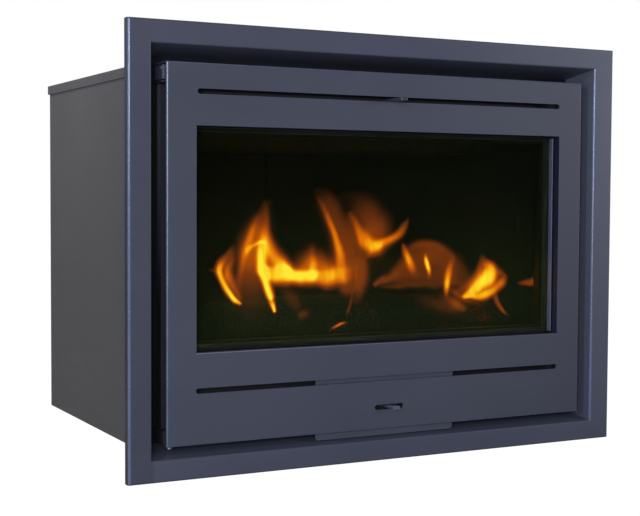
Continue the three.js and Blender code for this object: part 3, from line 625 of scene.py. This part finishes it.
# faces with a finish of their own: between two x and z, and turned so far along an axis
patches = {
    "door_facade": [
        # painted shade on the window reveal's right face, and a painted highlight on its bottom
        # front edge
        {"axis": 0, "x": (0.2862, 0.2868), "z": (0.12, 0.43), "turned": (0.9, 2),
         "finish": revealShadeFinish},
        {"axis": 2, "x": (-0.288, 0.288), "z": (0.1280, 0.13048), "turned": (0.12, 0.97),
         "finish": litEdge}],
    "glass_trim": [
        # painted light: the glass trim's right strip in the lighter trim paint, with painted shade
        # on the rest
        {"axis": 0, "x": (0.2815, 0.30), "z": (0.11, 0.45), "turned": (0.0, 2),
         "finish": finishes["trim_steel"]}]}
# the nodes by the radius of their edges
skins = {
    0.0004: "airwash_slide primary_slide airwash_guide primary_guide",
    0.0005: "air_cover_plate glass_trim casing_base casing_side_left casing_side_right "
            "casing_back casing_rail_left casing_rail_right catch_tongue catch_bracket ash_pan "
            "frame_bolt_low_left frame_bolt_high_left frame_bolt_low_right "
            "frame_bolt_high_right facade_spacer_low_left facade_spacer_high_left "
            "facade_spacer_low_right facade_spacer_high_right",
    0.0006: "door_facade casing_lid hinge_bracket_top hinge_pin_top hinge_pin_bottom "
            "catch_roller",
    0.0007: "surround_frame",
    0.0008: "seat_plate flue_collar firebox_side_left firebox_side_right firebox_back "
            "firebox_floor firebox_top ash_box door_glass",
    0.0009: "airwash_lever primary_lever",
    0.001: "door_inner_frame",
    0.0012: "hinge_block_top hinge_block_bottom",
    0.0015: "baffle_plate",
    0.0016: "log_guard",
    0.0018: "fire_grate",
    0.002: "hearth_brick_left hearth_brick_right hearth_brick_front hearth_brick_back",
    0.0025: "side_brick_left side_brick_right back_brick_left back_brick_right",
}
for radius, nodes in skins.items():
    for node in nodes.split():
        dressed(node, radius)
print("stage: skins", sum(len(nodes.split()) for nodes in skins.values()))


# a braided rope laid round a rectangle with rounded corners, pressed flat front to back
def ropeRing(node, look):
    halfX = (look["x"][1] - look["x"][0]) / 2
    halfZ = (look["z"][1] - look["z"][0]) / 2
    middle = Vector((sum(look["x"]) / 2, look["y"], sum(look["z"]) / 2))
    bend, cornerSteps, sides = look["bend"], 8, 14
    path = []
    for cornerX, cornerZ, start in ((1, -1, -90), (1, 1, 0), (-1, 1, 90), (-1, -1, 180)):
        for step in range(cornerSteps + 1):
            turn = math.radians(start + 90 * step / cornerSteps)
            path.append((cornerX * (halfX - bend) + bend * math.cos(turn),
                         cornerZ * (halfZ - bend) + bend * math.sin(turn), turn))
    lengths = [math.dist(a[:2], b[:2]) for a, b in zip(path, path[1:] + path[:1])]
    shape = bmesh.new()
    uvLayer = shape.loops.layers.uv.new("UVMap")
    rings = []
    for x, z, turn in path:
        ring = []
        for side in range(sides):
            angle = 2 * math.pi * side / sides
            out = look["radius"] * math.cos(angle)
            ring.append(shape.verts.new(middle + Vector((
                x + out * math.cos(turn), look["halfDepth"] * math.sin(angle),
                z + out * math.sin(turn)))))
        rings.append(ring)
    braidScale = 1 / (2 * math.pi * look["radius"])
    travelled = 0.0
    for ring, following, length in zip(rings, rings[1:] + rings[:1], lengths):
        joinRings(shape, uvLayer, ring, following, travelled * braidScale,
                  (travelled + length) * braidScale)
        travelled += length
    addPiece(node + "_rope", meshFrom(shape, node + "_rope", True), finishes["rope_seal"],
             bodyOfNode[node], node)


ropes = {
    "glass_seal": {"x": (-0.284, 0.284), "z": (0.133, 0.419), "y": -0.2095, "radius": 0.005,
                   "halfDepth": 0.0031, "bend": 0.008},
    "door_seal": {"x": (-0.306, 0.304), "z": (0.030, 0.484), "y": -0.19125, "radius": 0.005,
                  "halfDepth": 0.00095, "bend": 0.012},
}
for node, look in ropes.items():
    ropeRing(node, look)
print("stage: rope seals")


def screwHead():
    look = {"radius": 0.0034, "height": 0.0018, "slot": 0.00055, "slotReach": 0.6,
            "slotDepth": 0.001, "rings": 9, "sides": 32}
    sides, radius = look["sides"], look["radius"]
    shape = bmesh.new()
    rings = []
    for ring in range(1, look["rings"] + 1):
        part = ring / look["rings"]
        verts = []
        for side in range(sides):
            turn = 2 * math.pi * side / sides
            x, y = radius * part * math.cos(turn), radius * part * math.sin(turn)
            z = look["height"] * math.sqrt(max(0.0, 1 - part ** 3))
            inSlot = min(abs(x), abs(y)) < look["slot"] and part < look["slotReach"]
            verts.append(shape.verts.new((x, y, z - look["slotDepth"] * inSlot)))
        rings.append(verts)
    centre = shape.verts.new((0, 0, look["height"] - look["slotDepth"]))
    for side in range(sides):
        after = (side + 1) % sides
        shape.faces.new((centre, rings[0][side], rings[0][after]))
        for inner, outer in zip(rings, rings[1:]):
            shape.faces.new((inner[side], outer[side], outer[after], inner[after]))
    shape.faces.new(list(reversed(rings[-1])))
    mesh = meshFrom(shape, "screwHead")
    for face in mesh.polygons:
        face.use_smooth = True
    mesh.set_sharp_from_angle(angle=math.radians(40))
    return bpy.data.objects.new("screwHead", mesh)


def scatterTree():
    tree = bpy.data.node_groups.new("scatterHeads", "GeometryNodeTree")
    for name, kind in (("Points", "NodeSocketGeometry"), ("Head", "NodeSocketObject"),
                       ("Turn", "NodeSocketRotation"), ("Finish", "NodeSocketMaterial")):
        tree.interface.new_socket(name, in_out="INPUT", socket_type=kind)
    tree.interface.new_socket("Geometry", in_out="OUTPUT", socket_type="NodeSocketGeometry")
    source = tree.nodes.new("NodeGroupInput").outputs
    head = shade(tree, "GeometryNodeObjectInfo", {"Object": source["Head"]})
    spots = shade(tree, "GeometryNodeInstanceOnPoints", {
        "Points": source["Points"], "Instance": head.outputs["Geometry"],
        "Rotation": source["Turn"]})
    real = shade(tree, "GeometryNodeRealizeInstances", {0: spots.outputs[0]})
    done = shade(tree, "GeometryNodeSetMaterial", {
        "Geometry": real.outputs[0], "Material": source["Finish"]})
    plug(tree, tree.nodes.new("NodeGroupOutput"), {0: done.outputs[0]})
    return tree


def screws(name, look):
    mesh = bpy.data.meshes.new(name)
    mesh.from_pydata(look["spots"], [], [])
    piece = linked(name, mesh)
    scatter = piece.modifiers.new("scatter", "NODES")
    scatter.node_group = headTree
    inputs = {"Head": headPiece, "Turn": look["turn"], "Finish": finishes["bare_steel"]}
    for item in headTree.interface.items_tree:
        if item.name in inputs:
            scatter[item.identifier] = inputs[item.name]
    setFinish(settled(piece), finishes["bare_steel"])
    attach(piece, "root")


headPiece = screwHead()
headTree = scatterTree()
screwRows = {
    "lid_screws": {"turn": (0, 0, 0), "spots": [
        (x, y, 0.5) for x in (-0.33, 0.33) for y in (-0.165, -0.04, 0.085, 0.21)] + [
        (x, 0.216, 0.5) for x in (-0.2, -0.07, 0.07, 0.2)]},
    "back_screws": {"turn": (-math.pi / 2, 0, 0), "spots": [
        (x, 0.2275, z) for x in (-0.325, 0.325) for z in (0.03, 0.17, 0.31, 0.45)] + [
        (x, 0.2275, 0.016) for x in (-0.2, -0.07, 0.07, 0.2)]},
}
for name, look in screwRows.items():
    screws(name, look)
print("stage: screws")


# the point and the radius at a share of a log's length
def alongLog(stations, part):
    rows = [Vector(row) for row in stations]
    lengths = [(b.xyz - a.xyz).length for a, b in zip(rows, rows[1:])]
    left = part * sum(lengths)
    for a, b, length in zip(rows, rows[1:], lengths):
        if left <= length or b is rows[-1]:
            row = a.lerp(b, min(1.0, left / length))
            return row.xyz, row.w
        left -= length


barkLook = {"sides": 44, "ridge": 0.075, "furrow": 0.04, "fullness": 0.955, "endTaper": 0.07,
            "uvTurns": 5, "endDents": 0.0015}


# a split log, whose bark stays inside the room that its solid leaves it
def logMesh(look):
    rows = [Vector(row) for row in look["stations"]]
    axis = (rows[-1].xyz - rows[0].xyz).normalized()
    sideways = axis.cross(Vector((0, 0, 1))).normalized()
    upright = sideways.cross(axis)
    stations, sides = look["steps"], barkLook["sides"]
    shape = bmesh.new()
    uvLayer = shape.loops.layers.uv.new("UVMap")
    rings = []
    for i in range(stations + 1):
        part = i / stations
        centre, radius = alongLog(look["stations"], part)
        taper = barkLook["endTaper"]
        endTaper = min(1.0, 1 - taper + taper * min(part, 1 - part) * 30)
        ring = []
        for k in range(sides):
            turn = 2 * math.pi * k / sides
            flat = 1 - look["split"] * max(0.0, math.cos(turn - look["splitTurn"])) ** 3
            spot = Vector((math.cos(turn) * 3, math.sin(turn) * 3, part * 9 + look["seed"]))
            ridge = barkLook["ridge"] * noise.fractal(spot, 0.8, 2.0, 4)
            furrow = barkLook["furrow"] * noise.noise(Vector((k * 0.9, part * 5,
                                                              look["seed"] * 3)))
            reach = radius * flat * endTaper * min(1.0, barkLook["fullness"] + ridge + furrow)
            ring.append(shape.verts.new(centre + sideways * math.cos(turn) * reach
                                        + upright * math.sin(turn) * reach))
        rings.append(ring)
    for i in range(stations):
        joinRings(shape, uvLayer, rings[i], rings[i + 1], i / stations * barkLook["uvTurns"],
                  (i + 1) / stations * barkLook["uvTurns"])
    for ring, inward in ((rings[0], axis), (rings[-1], -axis)):
        last = ring
        centre = sum((vert.co for vert in ring), Vector()) / sides
        for part in (0.7, 0.4, 0.15):
            fresh = [shape.verts.new(centre.lerp(vert.co, part) + inward * barkLook["endDents"]
                                     * abs(noise.noise(vert.co * 90))) for vert in ring]
            for k in range(sides):
                after = (k + 1) % sides
                face = shape.faces.new((last[k], last[after], fresh[after], fresh[k]))
                for loop in face.loops:
                    loop[uvLayer].uv = (part * 0.5, k / sides)
            last = fresh
        shape.faces.new(last)
    return meshFrom(shape, look["node"] + "_bark", True)


# x, y, z and radius of the thick log's stations: it lies on the hearth, behind the guard
thickLog = [(x, -0.161 + r, 0.0906 + r, r) for x, r in (
    (-0.222, 0.047), (-0.212, 0.050), (-0.150, 0.051), (0.090, 0.051), (0.252, 0.045),
    (0.264, 0.042))]
logs = [
    {"node": "log_front", "stations": thickLog, "steps": 96,
     "split": 0.06, "splitTurn": 2.0, "seed": 4.1},
    {"node": "log_upper", "stations": [(0.060, -0.130, 0.2292, 0.0215),
                                       (0.020, 0.150, 0.1104, 0.0215)],
     "steps": 60, "split": 0.1, "splitTurn": 1.5, "seed": 9.2},
]
for look in logs:
    addPiece(look["node"] + "_bark", logMesh(look), finishes["log_bark"], "grate",
             look["node"])


def emberBed():
    look = {"halfX": 0.112, "halfY": 0.062, "foot": 0.0905, "height": 0.011, "cells": 60}
    shape = bmesh.new()
    bmesh.ops.create_grid(shape, x_segments=look["cells"], y_segments=look["cells"] // 2, size=1)
    for vert in shape.verts:
        x, y = vert.co.x, vert.co.y
        edge = max(0.0, 1 - max(abs(x), abs(y)) ** 4)
        rise = 0.55 + 0.45 * noise.fractal(Vector((x * 7, y * 4, 2.0)), 0.9, 2.0, 4)
        vert.co = (x * look["halfX"], y * look["halfY"],
                   look["foot"] + look["height"] * edge * max(0.1, rise))
    rim = [edge for edge in shape.edges if edge.is_boundary]
    skirt = bmesh.ops.extrude_edge_only(shape, edges=rim)["geom"]
    for vert in (item for item in skirt if isinstance(item, bmesh.types.BMVert)):
        vert.co.z = look["foot"]
    for face in shape.faces:
        face.smooth = True
    return meshFrom(shape, "ember_bed")


addPiece("ember_bed", emberBed(), emberFinish, "grate")
print("stage: logs")

# the strokes that the flames follow: how crisp the sides are, and points of picture x,
# picture y, half width and heat
flames = {
    "leftFill": (2.6, [(252, 306, 15, 0.1), (251, 292, 15, 0.25), (252, 276, 14, 0.42),
        (253, 260, 13.5, 0.62), (256, 243, 12.5, 0.66), (259, 228, 9.5, 0.56), (263, 215, 6, 0.33),
        (266, 204, 4, 0.14)]),
    "leftStrand": (2.2, [(238, 290, 4, 0.3), (240, 278, 4.5, 0.45), (243, 263, 5, 0.62),
        (246, 250, 5, 0.74), (249, 240, 4.5, 0.74), (252, 230, 4, 0.68), (255, 222, 3, 0.45),
        (258, 215, 2.5, 0.25)]),
    "leftArch": (2.2, [(245, 256, 3, 0.5), (248, 249, 3.5, 0.75), (253, 244.5, 3, 0.8),
        (259, 242, 3, 0.78), (264, 242, 3, 0.7)]),
    "leftCore": (3, [(270, 297, 3.5, 1), (267, 286, 5, 1), (264, 275, 6, 1), (262, 265, 6.5, 1),
        (262, 255, 7, 0.95), (263, 246, 7, 0.87), (264, 236, 5.5, 0.75), (265.5, 226, 4, 0.5),
        (266.5, 216, 3, 0.32), (266.5, 205, 2.5, 0.15)]),
    "leftTail": (3, [(274, 310.5, 1.8, 0.97), (272, 305, 2.6, 0.95), (270.5, 301, 3, 0.8)]),
    "leftShoulder": (2.6, [(267, 228, 3, 0.4), (268, 240, 5, 0.72), (271, 251, 7, 0.85),
        (277, 261, 8, 0.92), (286, 269, 8, 0.95)]),
    "curlEdge": (3, [(240, 303, 2.2, 0.85), (234, 299, 3.2, 1), (228, 291.5, 3.4, 0.97),
        (223, 282, 3.4, 0.93), (219.5, 272, 3.6, 0.95), (220.5, 265, 3.4, 0.85),
        (224, 259, 3.6, 0.58), (229, 254, 3.6, 0.42), (235, 248, 3, 0.18)]),
    "curlFill": (2.4, [(239, 297, 3.5, 0.45), (233, 287, 5.5, 0.6), (228, 277, 5.5, 0.72),
        (227, 268, 5, 0.66), (231, 260, 4.5, 0.45), (236, 252, 3.5, 0.2)]),
    "curlTip": (2, [(219, 272, 2.5, 0.45), (214, 271.5, 1.8, 0.3), (210, 270, 1.2, 0.1)]),
    "bridge": (3.4, [(264, 270, 8, 0.9), (274, 273, 11, 1), (283, 275, 10, 1), (293, 276, 9, 1),
        (303, 276.5, 8.5, 0.97), (313, 277, 9, 0.92), (323, 277, 9.5, 0.83), (334, 276.5, 10, 0.77),
        (343, 275.5, 9.5, 0.68), (350, 275, 6, 0.4), (354, 274, 3, 0.12)]),
    "peakGlow": (2.2, [(302, 270, 9, 0.66), (308, 265, 10, 0.66), (315, 262, 10, 0.64),
        (323, 267, 9, 0.66)]),
    "peak": (2.4, [(313, 275, 8, 0.85), (314, 266, 6, 0.78), (314, 258, 4.8, 0.58),
        (313, 251, 3.6, 0.35), (313, 245, 2.5, 0.14)]),
    "bridgeGlow": (2.2, [(331, 276, 9, 0.68), (333, 266, 9, 0.5), (332, 257, 7, 0.24),
        (331, 250, 5, 0.08)]),
    "tallBody": (2.8, [(346, 287, 8, 0.4), (346, 272, 12, 0.52), (345, 256, 12, 0.46),
        (343, 240, 11.5, 0.42), (338, 225, 10.5, 0.36), (331, 211, 10, 0.3), (325, 200, 8, 0.22),
        (321, 193, 6, 0.1)]),
    "tallStreak": (2.6, [(341, 276, 7, 0.62), (340.5, 263, 5.5, 0.74), (339, 251, 4.6, 0.82),
        (336.5, 240, 4, 0.81), (333.5, 230, 3.6, 0.76), (329.5, 220, 3.3, 0.66),
        (325, 210, 3, 0.46), (321, 202, 2.8, 0.3), (318, 195, 2.5, 0.12)]),
    "vee": (2.8, [(350, 214, 3, 0.3), (356, 223, 4, 0.55), (361, 233, 6, 0.74), (366, 242, 8, 0.83),
        (373, 246, 7.5, 0.84), (382, 243.5, 6, 0.84), (390, 239.5, 4.4, 0.8), (398, 235, 4, 0.7),
        (403, 229, 3.3, 0.55), (407, 222, 2.2, 0.33), (409, 218, 1.4, 0.12)]),
    "veeFoot": (2.4, [(377, 247, 7, 0.78), (371, 252, 4.5, 0.62), (366, 257, 2.5, 0.35)]),
    "veePlume": (3, [(368, 242, 14, 0.5), (373, 231, 15, 0.5), (371, 221, 14, 0.38),
        (364, 211, 13, 0.28), (356, 203, 10, 0.14), (348, 199, 8, 0.06)]),
    "veeHaze": (2.2, [(355, 262, 8, 0.3), (354, 248, 8, 0.34), (353, 234, 8, 0.34),
        (350, 222, 8, 0.28)]),
    "thread": (2.4, [(360, 250, 5, 0.3), (361, 262, 7, 0.46), (361.5, 275, 7, 0.5),
        (360, 288, 6, 0.44), (358, 298, 5, 0.24), (357, 306, 4, 0.07)]),
    "threadEdge": (2.2, [(357, 258.5, 2, 0.42), (353.5, 264, 2, 0.42), (352.5, 278, 1.8, 0.36),
        (352, 291, 1.8, 0.36), (350.5, 303, 1.6, 0.3), (347.5, 312, 1.6, 0.36)]),
    "threadLight": (2.2, [(356, 266, 2, 0.5), (356, 280, 2, 0.52), (355, 292, 1.8, 0.4)]),
    "dome": (3.2, [(408, 265, 10, 0.34), (420, 258, 12, 0.4), (432, 256, 13, 0.42),
        (444, 262, 12, 0.35), (452, 270, 12, 0.32), (463, 280, 9, 0.25)]),
    "domeLow": (3, [(392, 276, 6, 0.26), (405, 275, 8, 0.33), (420, 274, 9, 0.34),
        (435, 275, 9, 0.32), (450, 278, 9, 0.31)]),
    "domeFoot": (2.6, [(376, 283.5, 2.6, 0.42), (384, 279, 4.2, 0.42), (394, 274.5, 5.5, 0.38),
        (403, 266, 6, 0.35)]),
    "domeRim": (2.4, [(410, 250, 4.5, 0.32), (418, 245, 4.5, 0.42), (429, 243.5, 4.5, 0.42),
        (440, 247, 4.5, 0.38), (448, 254, 4.5, 0.32)]),
    "domeLine": (2.2, [(383, 286, 2.5, 0.2), (400, 284.5, 3, 0.3), (420, 284, 3.4, 0.3),
        (440, 283.5, 3.8, 0.28), (460, 283, 4, 0.32)]),
    "firstTongue": (2.6, [(403.5, 246, 2.2, 0.45), (406, 254, 3.4, 0.76), (409, 262, 4.5, 0.86),
        (412, 269, 4.5, 0.7), (415, 276, 3, 0.28)]),
    "secondTongue": (2.8, [(425, 254, 1.8, 0.6), (425.5, 259, 2.8, 0.96), (427, 266, 3.2, 1),
        (428, 272, 2.4, 0.85), (427, 279, 1.8, 0.3), (425, 285, 1.4, 0.1)]),
    "thirdTongue": (2.6, [(452, 257, 3, 0.33), (449.5, 266, 4, 0.6), (448, 275, 4, 0.82),
        (447, 284, 3.3, 0.96), (446.5, 291, 2.6, 0.72), (447, 298, 2, 0.2)]),
    "rightMain": (3.4, [(465, 296, 3.4, 0.9), (471, 292.5, 5.5, 1), (479, 286, 8.5, 1),
        (487, 278.5, 10, 1), (489, 271, 7.5, 0.95), (486.5, 265, 4.6, 0.76), (484, 260, 2.8, 0.42),
        (482.5, 255, 2, 0.14)]),
    "rightHalo": (2.2, [(458, 291, 3, 0.3), (466, 288, 5, 0.52), (474, 281, 5, 0.62),
        (479, 272, 4, 0.62), (481, 264, 3, 0.48), (482, 257, 2, 0.2)]),
    "rightEdge": (3, [(467, 297, 2.6, 0.9), (477, 297, 3.6, 0.92), (487, 294, 4.6, 0.92),
        (496, 287.5, 4.4, 0.78), (502, 281, 4, 0.72), (505, 276, 2.6, 0.4)]),
    "rightShade": (2.4, [(494, 270, 3, 0.5), (499, 273, 4, 0.5), (503, 275, 3, 0.35)]),
    "rightTail": (2.4, [(494, 288, 3, 0.36), (495, 297, 2.4, 0.45), (498, 305, 2.3, 0.5),
        (503, 311, 2.1, 0.55), (508, 314, 1.2, 0.22)]),
    "lowGlow": (2.4, [(440, 294, 4, 0.14), (449, 299, 5, 0.34), (457, 304, 4.6, 0.55),
        (463, 309, 3.2, 0.33)]),
    "lowLink": (2.4, [(452, 290, 3, 0.34), (461, 296, 4, 0.5), (470, 301, 3.4, 0.36),
        (480, 303, 2.4, 0.16)]),
    "lowHaze": (2, [(420, 300, 6, 0.1), (434, 302, 7, 0.2), (450, 306, 7, 0.26),
        (464, 307, 5, 0.2)]),
    "smallRight": (3, [(516, 284.5, 1.2, 0.15), (523, 283.5, 2.2, 0.4), (532, 282, 3.6, 0.5),
        (538, 281, 5, 0.52), (542.5, 279.5, 4.5, 0.2)]),
    "spark": (2.4, [(331, 327.5, 0.8, 0.3), (336, 325.2, 1.2, 0.75), (341, 323.2, 1.2, 0.85),
        (346, 322.5, 1.1, 0.3)]),
    "sparkDim": (2.2, [(297, 318, 2, 0.08), (301, 316, 3.8, 0.28), (306, 314, 3.4, 0.22),
        (309, 313, 1.6, 0.1)]),
    "under": (2, [(284, 290, 6, 0.14), (291, 297, 6, 0.2), (296, 306, 4.5, 0.17),
        (295, 313, 2.5, 0.06)]),
    "underLeft": (2, [(241, 300, 4, 0.12), (250, 303, 5, 0.14), (262, 305, 5, 0.1)]),
}


# a smooth curve through a stroke's points
def smoothLine(points):
    rows = [Vector(point) for point in points]
    rows = [2 * rows[0] - rows[1]] + rows + [2 * rows[-1] - rows[-2]]
    line = []
    spans, samples = len(rows) - 3, flameLook["samples"]
    for i in range(samples + 1):
        where = i / samples * spans
        span = min(int(where), spans - 1)
        t = where - span
        a, b, c, d = rows[span:span + 4]
        line.append(0.5 * (2 * b + (c - a) * t + (2 * a - 5 * b + 4 * c - d) * t * t
                           + (3 * b - a - 3 * c + d) * t ** 3))
    return line


# the thick log's front at a height, which low flames lie on
def logFace(spot):
    for a, b in zip(thickLog, thickLog[1:]):
        if a[0] <= spot.x <= b[0]:
            _, y, z, r = Vector(a).lerp(Vector(b), (spot.x - a[0]) / (b[0] - a[0]))
            rise = spot.z - z
            if rise < 0:
                return y - r
            if rise < r:
                return y - math.sqrt(r * r - rise * rise)
    return None


# a grid in picture coordinates, depths and the gap to the log in metres, and how the
# strokes sway, fade outwards and gather where they overlap
flameLook = {
    "left": 205, "top": 186, "step": 1.25, "across": 274, "down": 118, "depth": -0.1495,
    "rightDepth": -0.156, "rightFrom": 504, "rightOver": 12, "logGap": 0.0012, "sway": 1.5,
    "lift": 2.4, "samples": 56, "thinnest": 0.7, "fade": 0.7, "gather": 3.5, "coldest": 0.035,
    "uvCells": 16,
}


def onFire(px, py, depth):
    spot = atPixel(px, py, depth)
    for _ in range(3):
        face = logFace(spot)
        if face is None or face - flameLook["logGap"] > depth:
            return spot
        spot = atPixel(px, py, face - flameLook["logGap"])
    return spot


# the columns or rows of the grid that a stroke reaches
def gridCells(middle, reach, start, count):
    first = math.ceil((middle - reach - start) / flameLook["step"])
    last = int((middle + reach - start) / flameLook["step"])
    return range(max(0, first), min(count, last + 1))


# the heat at each point of the grid
def flameHeat():
    left, top, step = flameLook["left"], flameLook["top"], flameLook["step"]
    across, down, gather = flameLook["across"], flameLook["down"], flameLook["gather"]
    spots = {}
    for i in range(across):
        for k in range(down):
            x, y = left + i * step, top + k * step
            sway = noise.noise(Vector((x / 13, y / 24, 2.5)))
            lift = noise.noise(Vector((x / 11, y / 26, 7.5)))
            spots[i, k] = (x + flameLook["sway"] * sway, y + flameLook["lift"] * lift)
    total = {}
    for crisp, points in flames.values():
        near = {}
        for px, py, width, heat in smoothLine(points):
            width = max(width, flameLook["thinnest"])
            reach = 2.1 * width + 2
            for i in gridCells(px, reach, left, across):
                for k in gridCells(py, reach, top, down):
                    x, y = spots[i, k]
                    away = math.hypot(x - px, y - py) / width
                    if away < near.get((i, k), (3.0, 0))[0]:
                        near[i, k] = (away, heat)
        for spot, (away, heat) in near.items():
            warm = max(0.0, heat) * math.exp(-flameLook["fade"] * away ** crisp)
            total[spot] = total.get(spot, 0.0) + warm ** gather
    return {spot: min(1.0, warm ** (1 / gather)) for spot, warm in total.items()}


def fireMesh():
    heats = flameHeat()
    shape = bmesh.new()
    uvLayer = shape.loops.layers.uv.new("UVMap")
    heatLayer = shape.verts.layers.float.new("warmth")
    verts = {}
    for i, k in heats:
        px = flameLook["left"] + i * flameLook["step"]
        py = flameLook["top"] + k * flameLook["step"]
        side = min(1.0, max(0.0, (px - flameLook["rightFrom"]) / flameLook["rightOver"]))
        depth = flameLook["depth"] + side * (flameLook["rightDepth"] - flameLook["depth"])
        vert = shape.verts.new(onFire(px, py, depth))
        vert[heatLayer] = heats[i, k]
        verts[i, k] = vert
    for i, k in heats:
        corners = [(i, k), (i + 1, k), (i + 1, k + 1), (i, k + 1)]
        if all(corner in heats for corner in corners) \
                and max(heats[corner] for corner in corners) > flameLook["coldest"]:
            face = shape.faces.new([verts[corner] for corner in corners])
            face.smooth = True
            for loop, (u, v) in zip(face.loops, corners):
                loop[uvLayer].uv = (u / flameLook["uvCells"], v / flameLook["uvCells"])
    loose = [vert for vert in shape.verts if not vert.link_faces]
    bmesh.ops.delete(shape, geom=loose, context="VERTS")
    return meshFrom(shape, "flames_glow")


addPiece("flames_glow", fireMesh(), finishes["flame"], "grate", "flames")
print("stage: flames", len(flames))


# a pale floor that the camera sees nearly white, and that still takes the shadow
def stageFloor():
    look = {"half": 9.0, "level": cadLow[2] - 0.0005, "grey": (0.42, 0.42, 0.43),
            "white": 1.12, "whiteShare": 0.92}
    half, level = look["half"], look["level"]
    mesh = bpy.data.meshes.new("floor")
    mesh.from_pydata([(-half, -half, level), (half, -half, level), (half, half, level),
                      (-half, half, level)], [], [(0, 1, 2, 3)])
    floor = linked("floor", mesh)
    material, tree, surface = startMaterial("paleFloor")
    plug(tree, surface, {"Base Color": look["grey"], "Roughness": 0.9, "Specular IOR Level": 0.1})
    seen = shade(tree, "ShaderNodeLightPath").outputs["Is Camera Ray"]
    white = shade(tree, "ShaderNodeEmission", {"Color": (1, 1, 1), "Strength": look["white"]})
    share = times(tree, seen, look["whiteShare"])
    mixShaders(tree, "Material Output", share, surface, white)
    mesh.materials.append(material)


def background():
    world = bpy.data.worlds.new("studio")
    bpy.context.scene.world = world
    world.use_nodes = True
    tree = world.node_tree
    back = tree.nodes["Background"]
    plug(tree, back, {"Color": (0.75, 0.80, 1.0), "Strength": 0.22})
    white = shade(tree, "ShaderNodeBackground", {"Color": (1, 1, 1), "Strength": 1.0})
    seen = shade(tree, "ShaderNodeLightPath").outputs["Is Camera Ray"]
    mixShaders(tree, "World Output", seen, back, white)


def softLight(name, look):
    data = bpy.data.lights.new(name, "AREA")
    data.shape = "RECTANGLE"
    data.size, data.size_y = look["size"]
    data.energy = look["power"]
    data.color = look["colour"]
    lamp = linked(name, data)
    lamp.location = look["place"]
    aim = Vector(look["aim"]) - lamp.location
    lamp.rotation_euler = aim.to_track_quat("-Z", "Y").to_euler()


lights = {
    "frontLeft": {"place": (-1.75, -3.0, 0.72), "aim": (0, -0.1, 0.3), "size": (1.5, 0.9),
                  "power": 92, "colour": (0.84, 0.88, 1.0)},
    "edge": {"place": (-2.4, -1.1, 1.05), "aim": (-0.3, -0.24, 0.45), "size": (0.14, 1.5),
             "power": 28, "colour": (0.68, 0.82, 1.0)},
    "left": {"place": (-1.4, 0.4, 2.1), "aim": (-0.35, 0, 0.6), "size": (0.7, 0.6),
             "power": 28, "colour": (1.0, 0.95, 0.90)},
    "frontRight": {"place": (2.8, -1.8, 0.9), "aim": (0.2, -0.2, 0.3), "size": (1.1, 0.9),
                   "power": 30, "colour": (0.82, 0.86, 1.0)},
}
stageFloor()
background()
for name, look in lights.items():
    softLight(name, look)
print("stage: floor and lights")
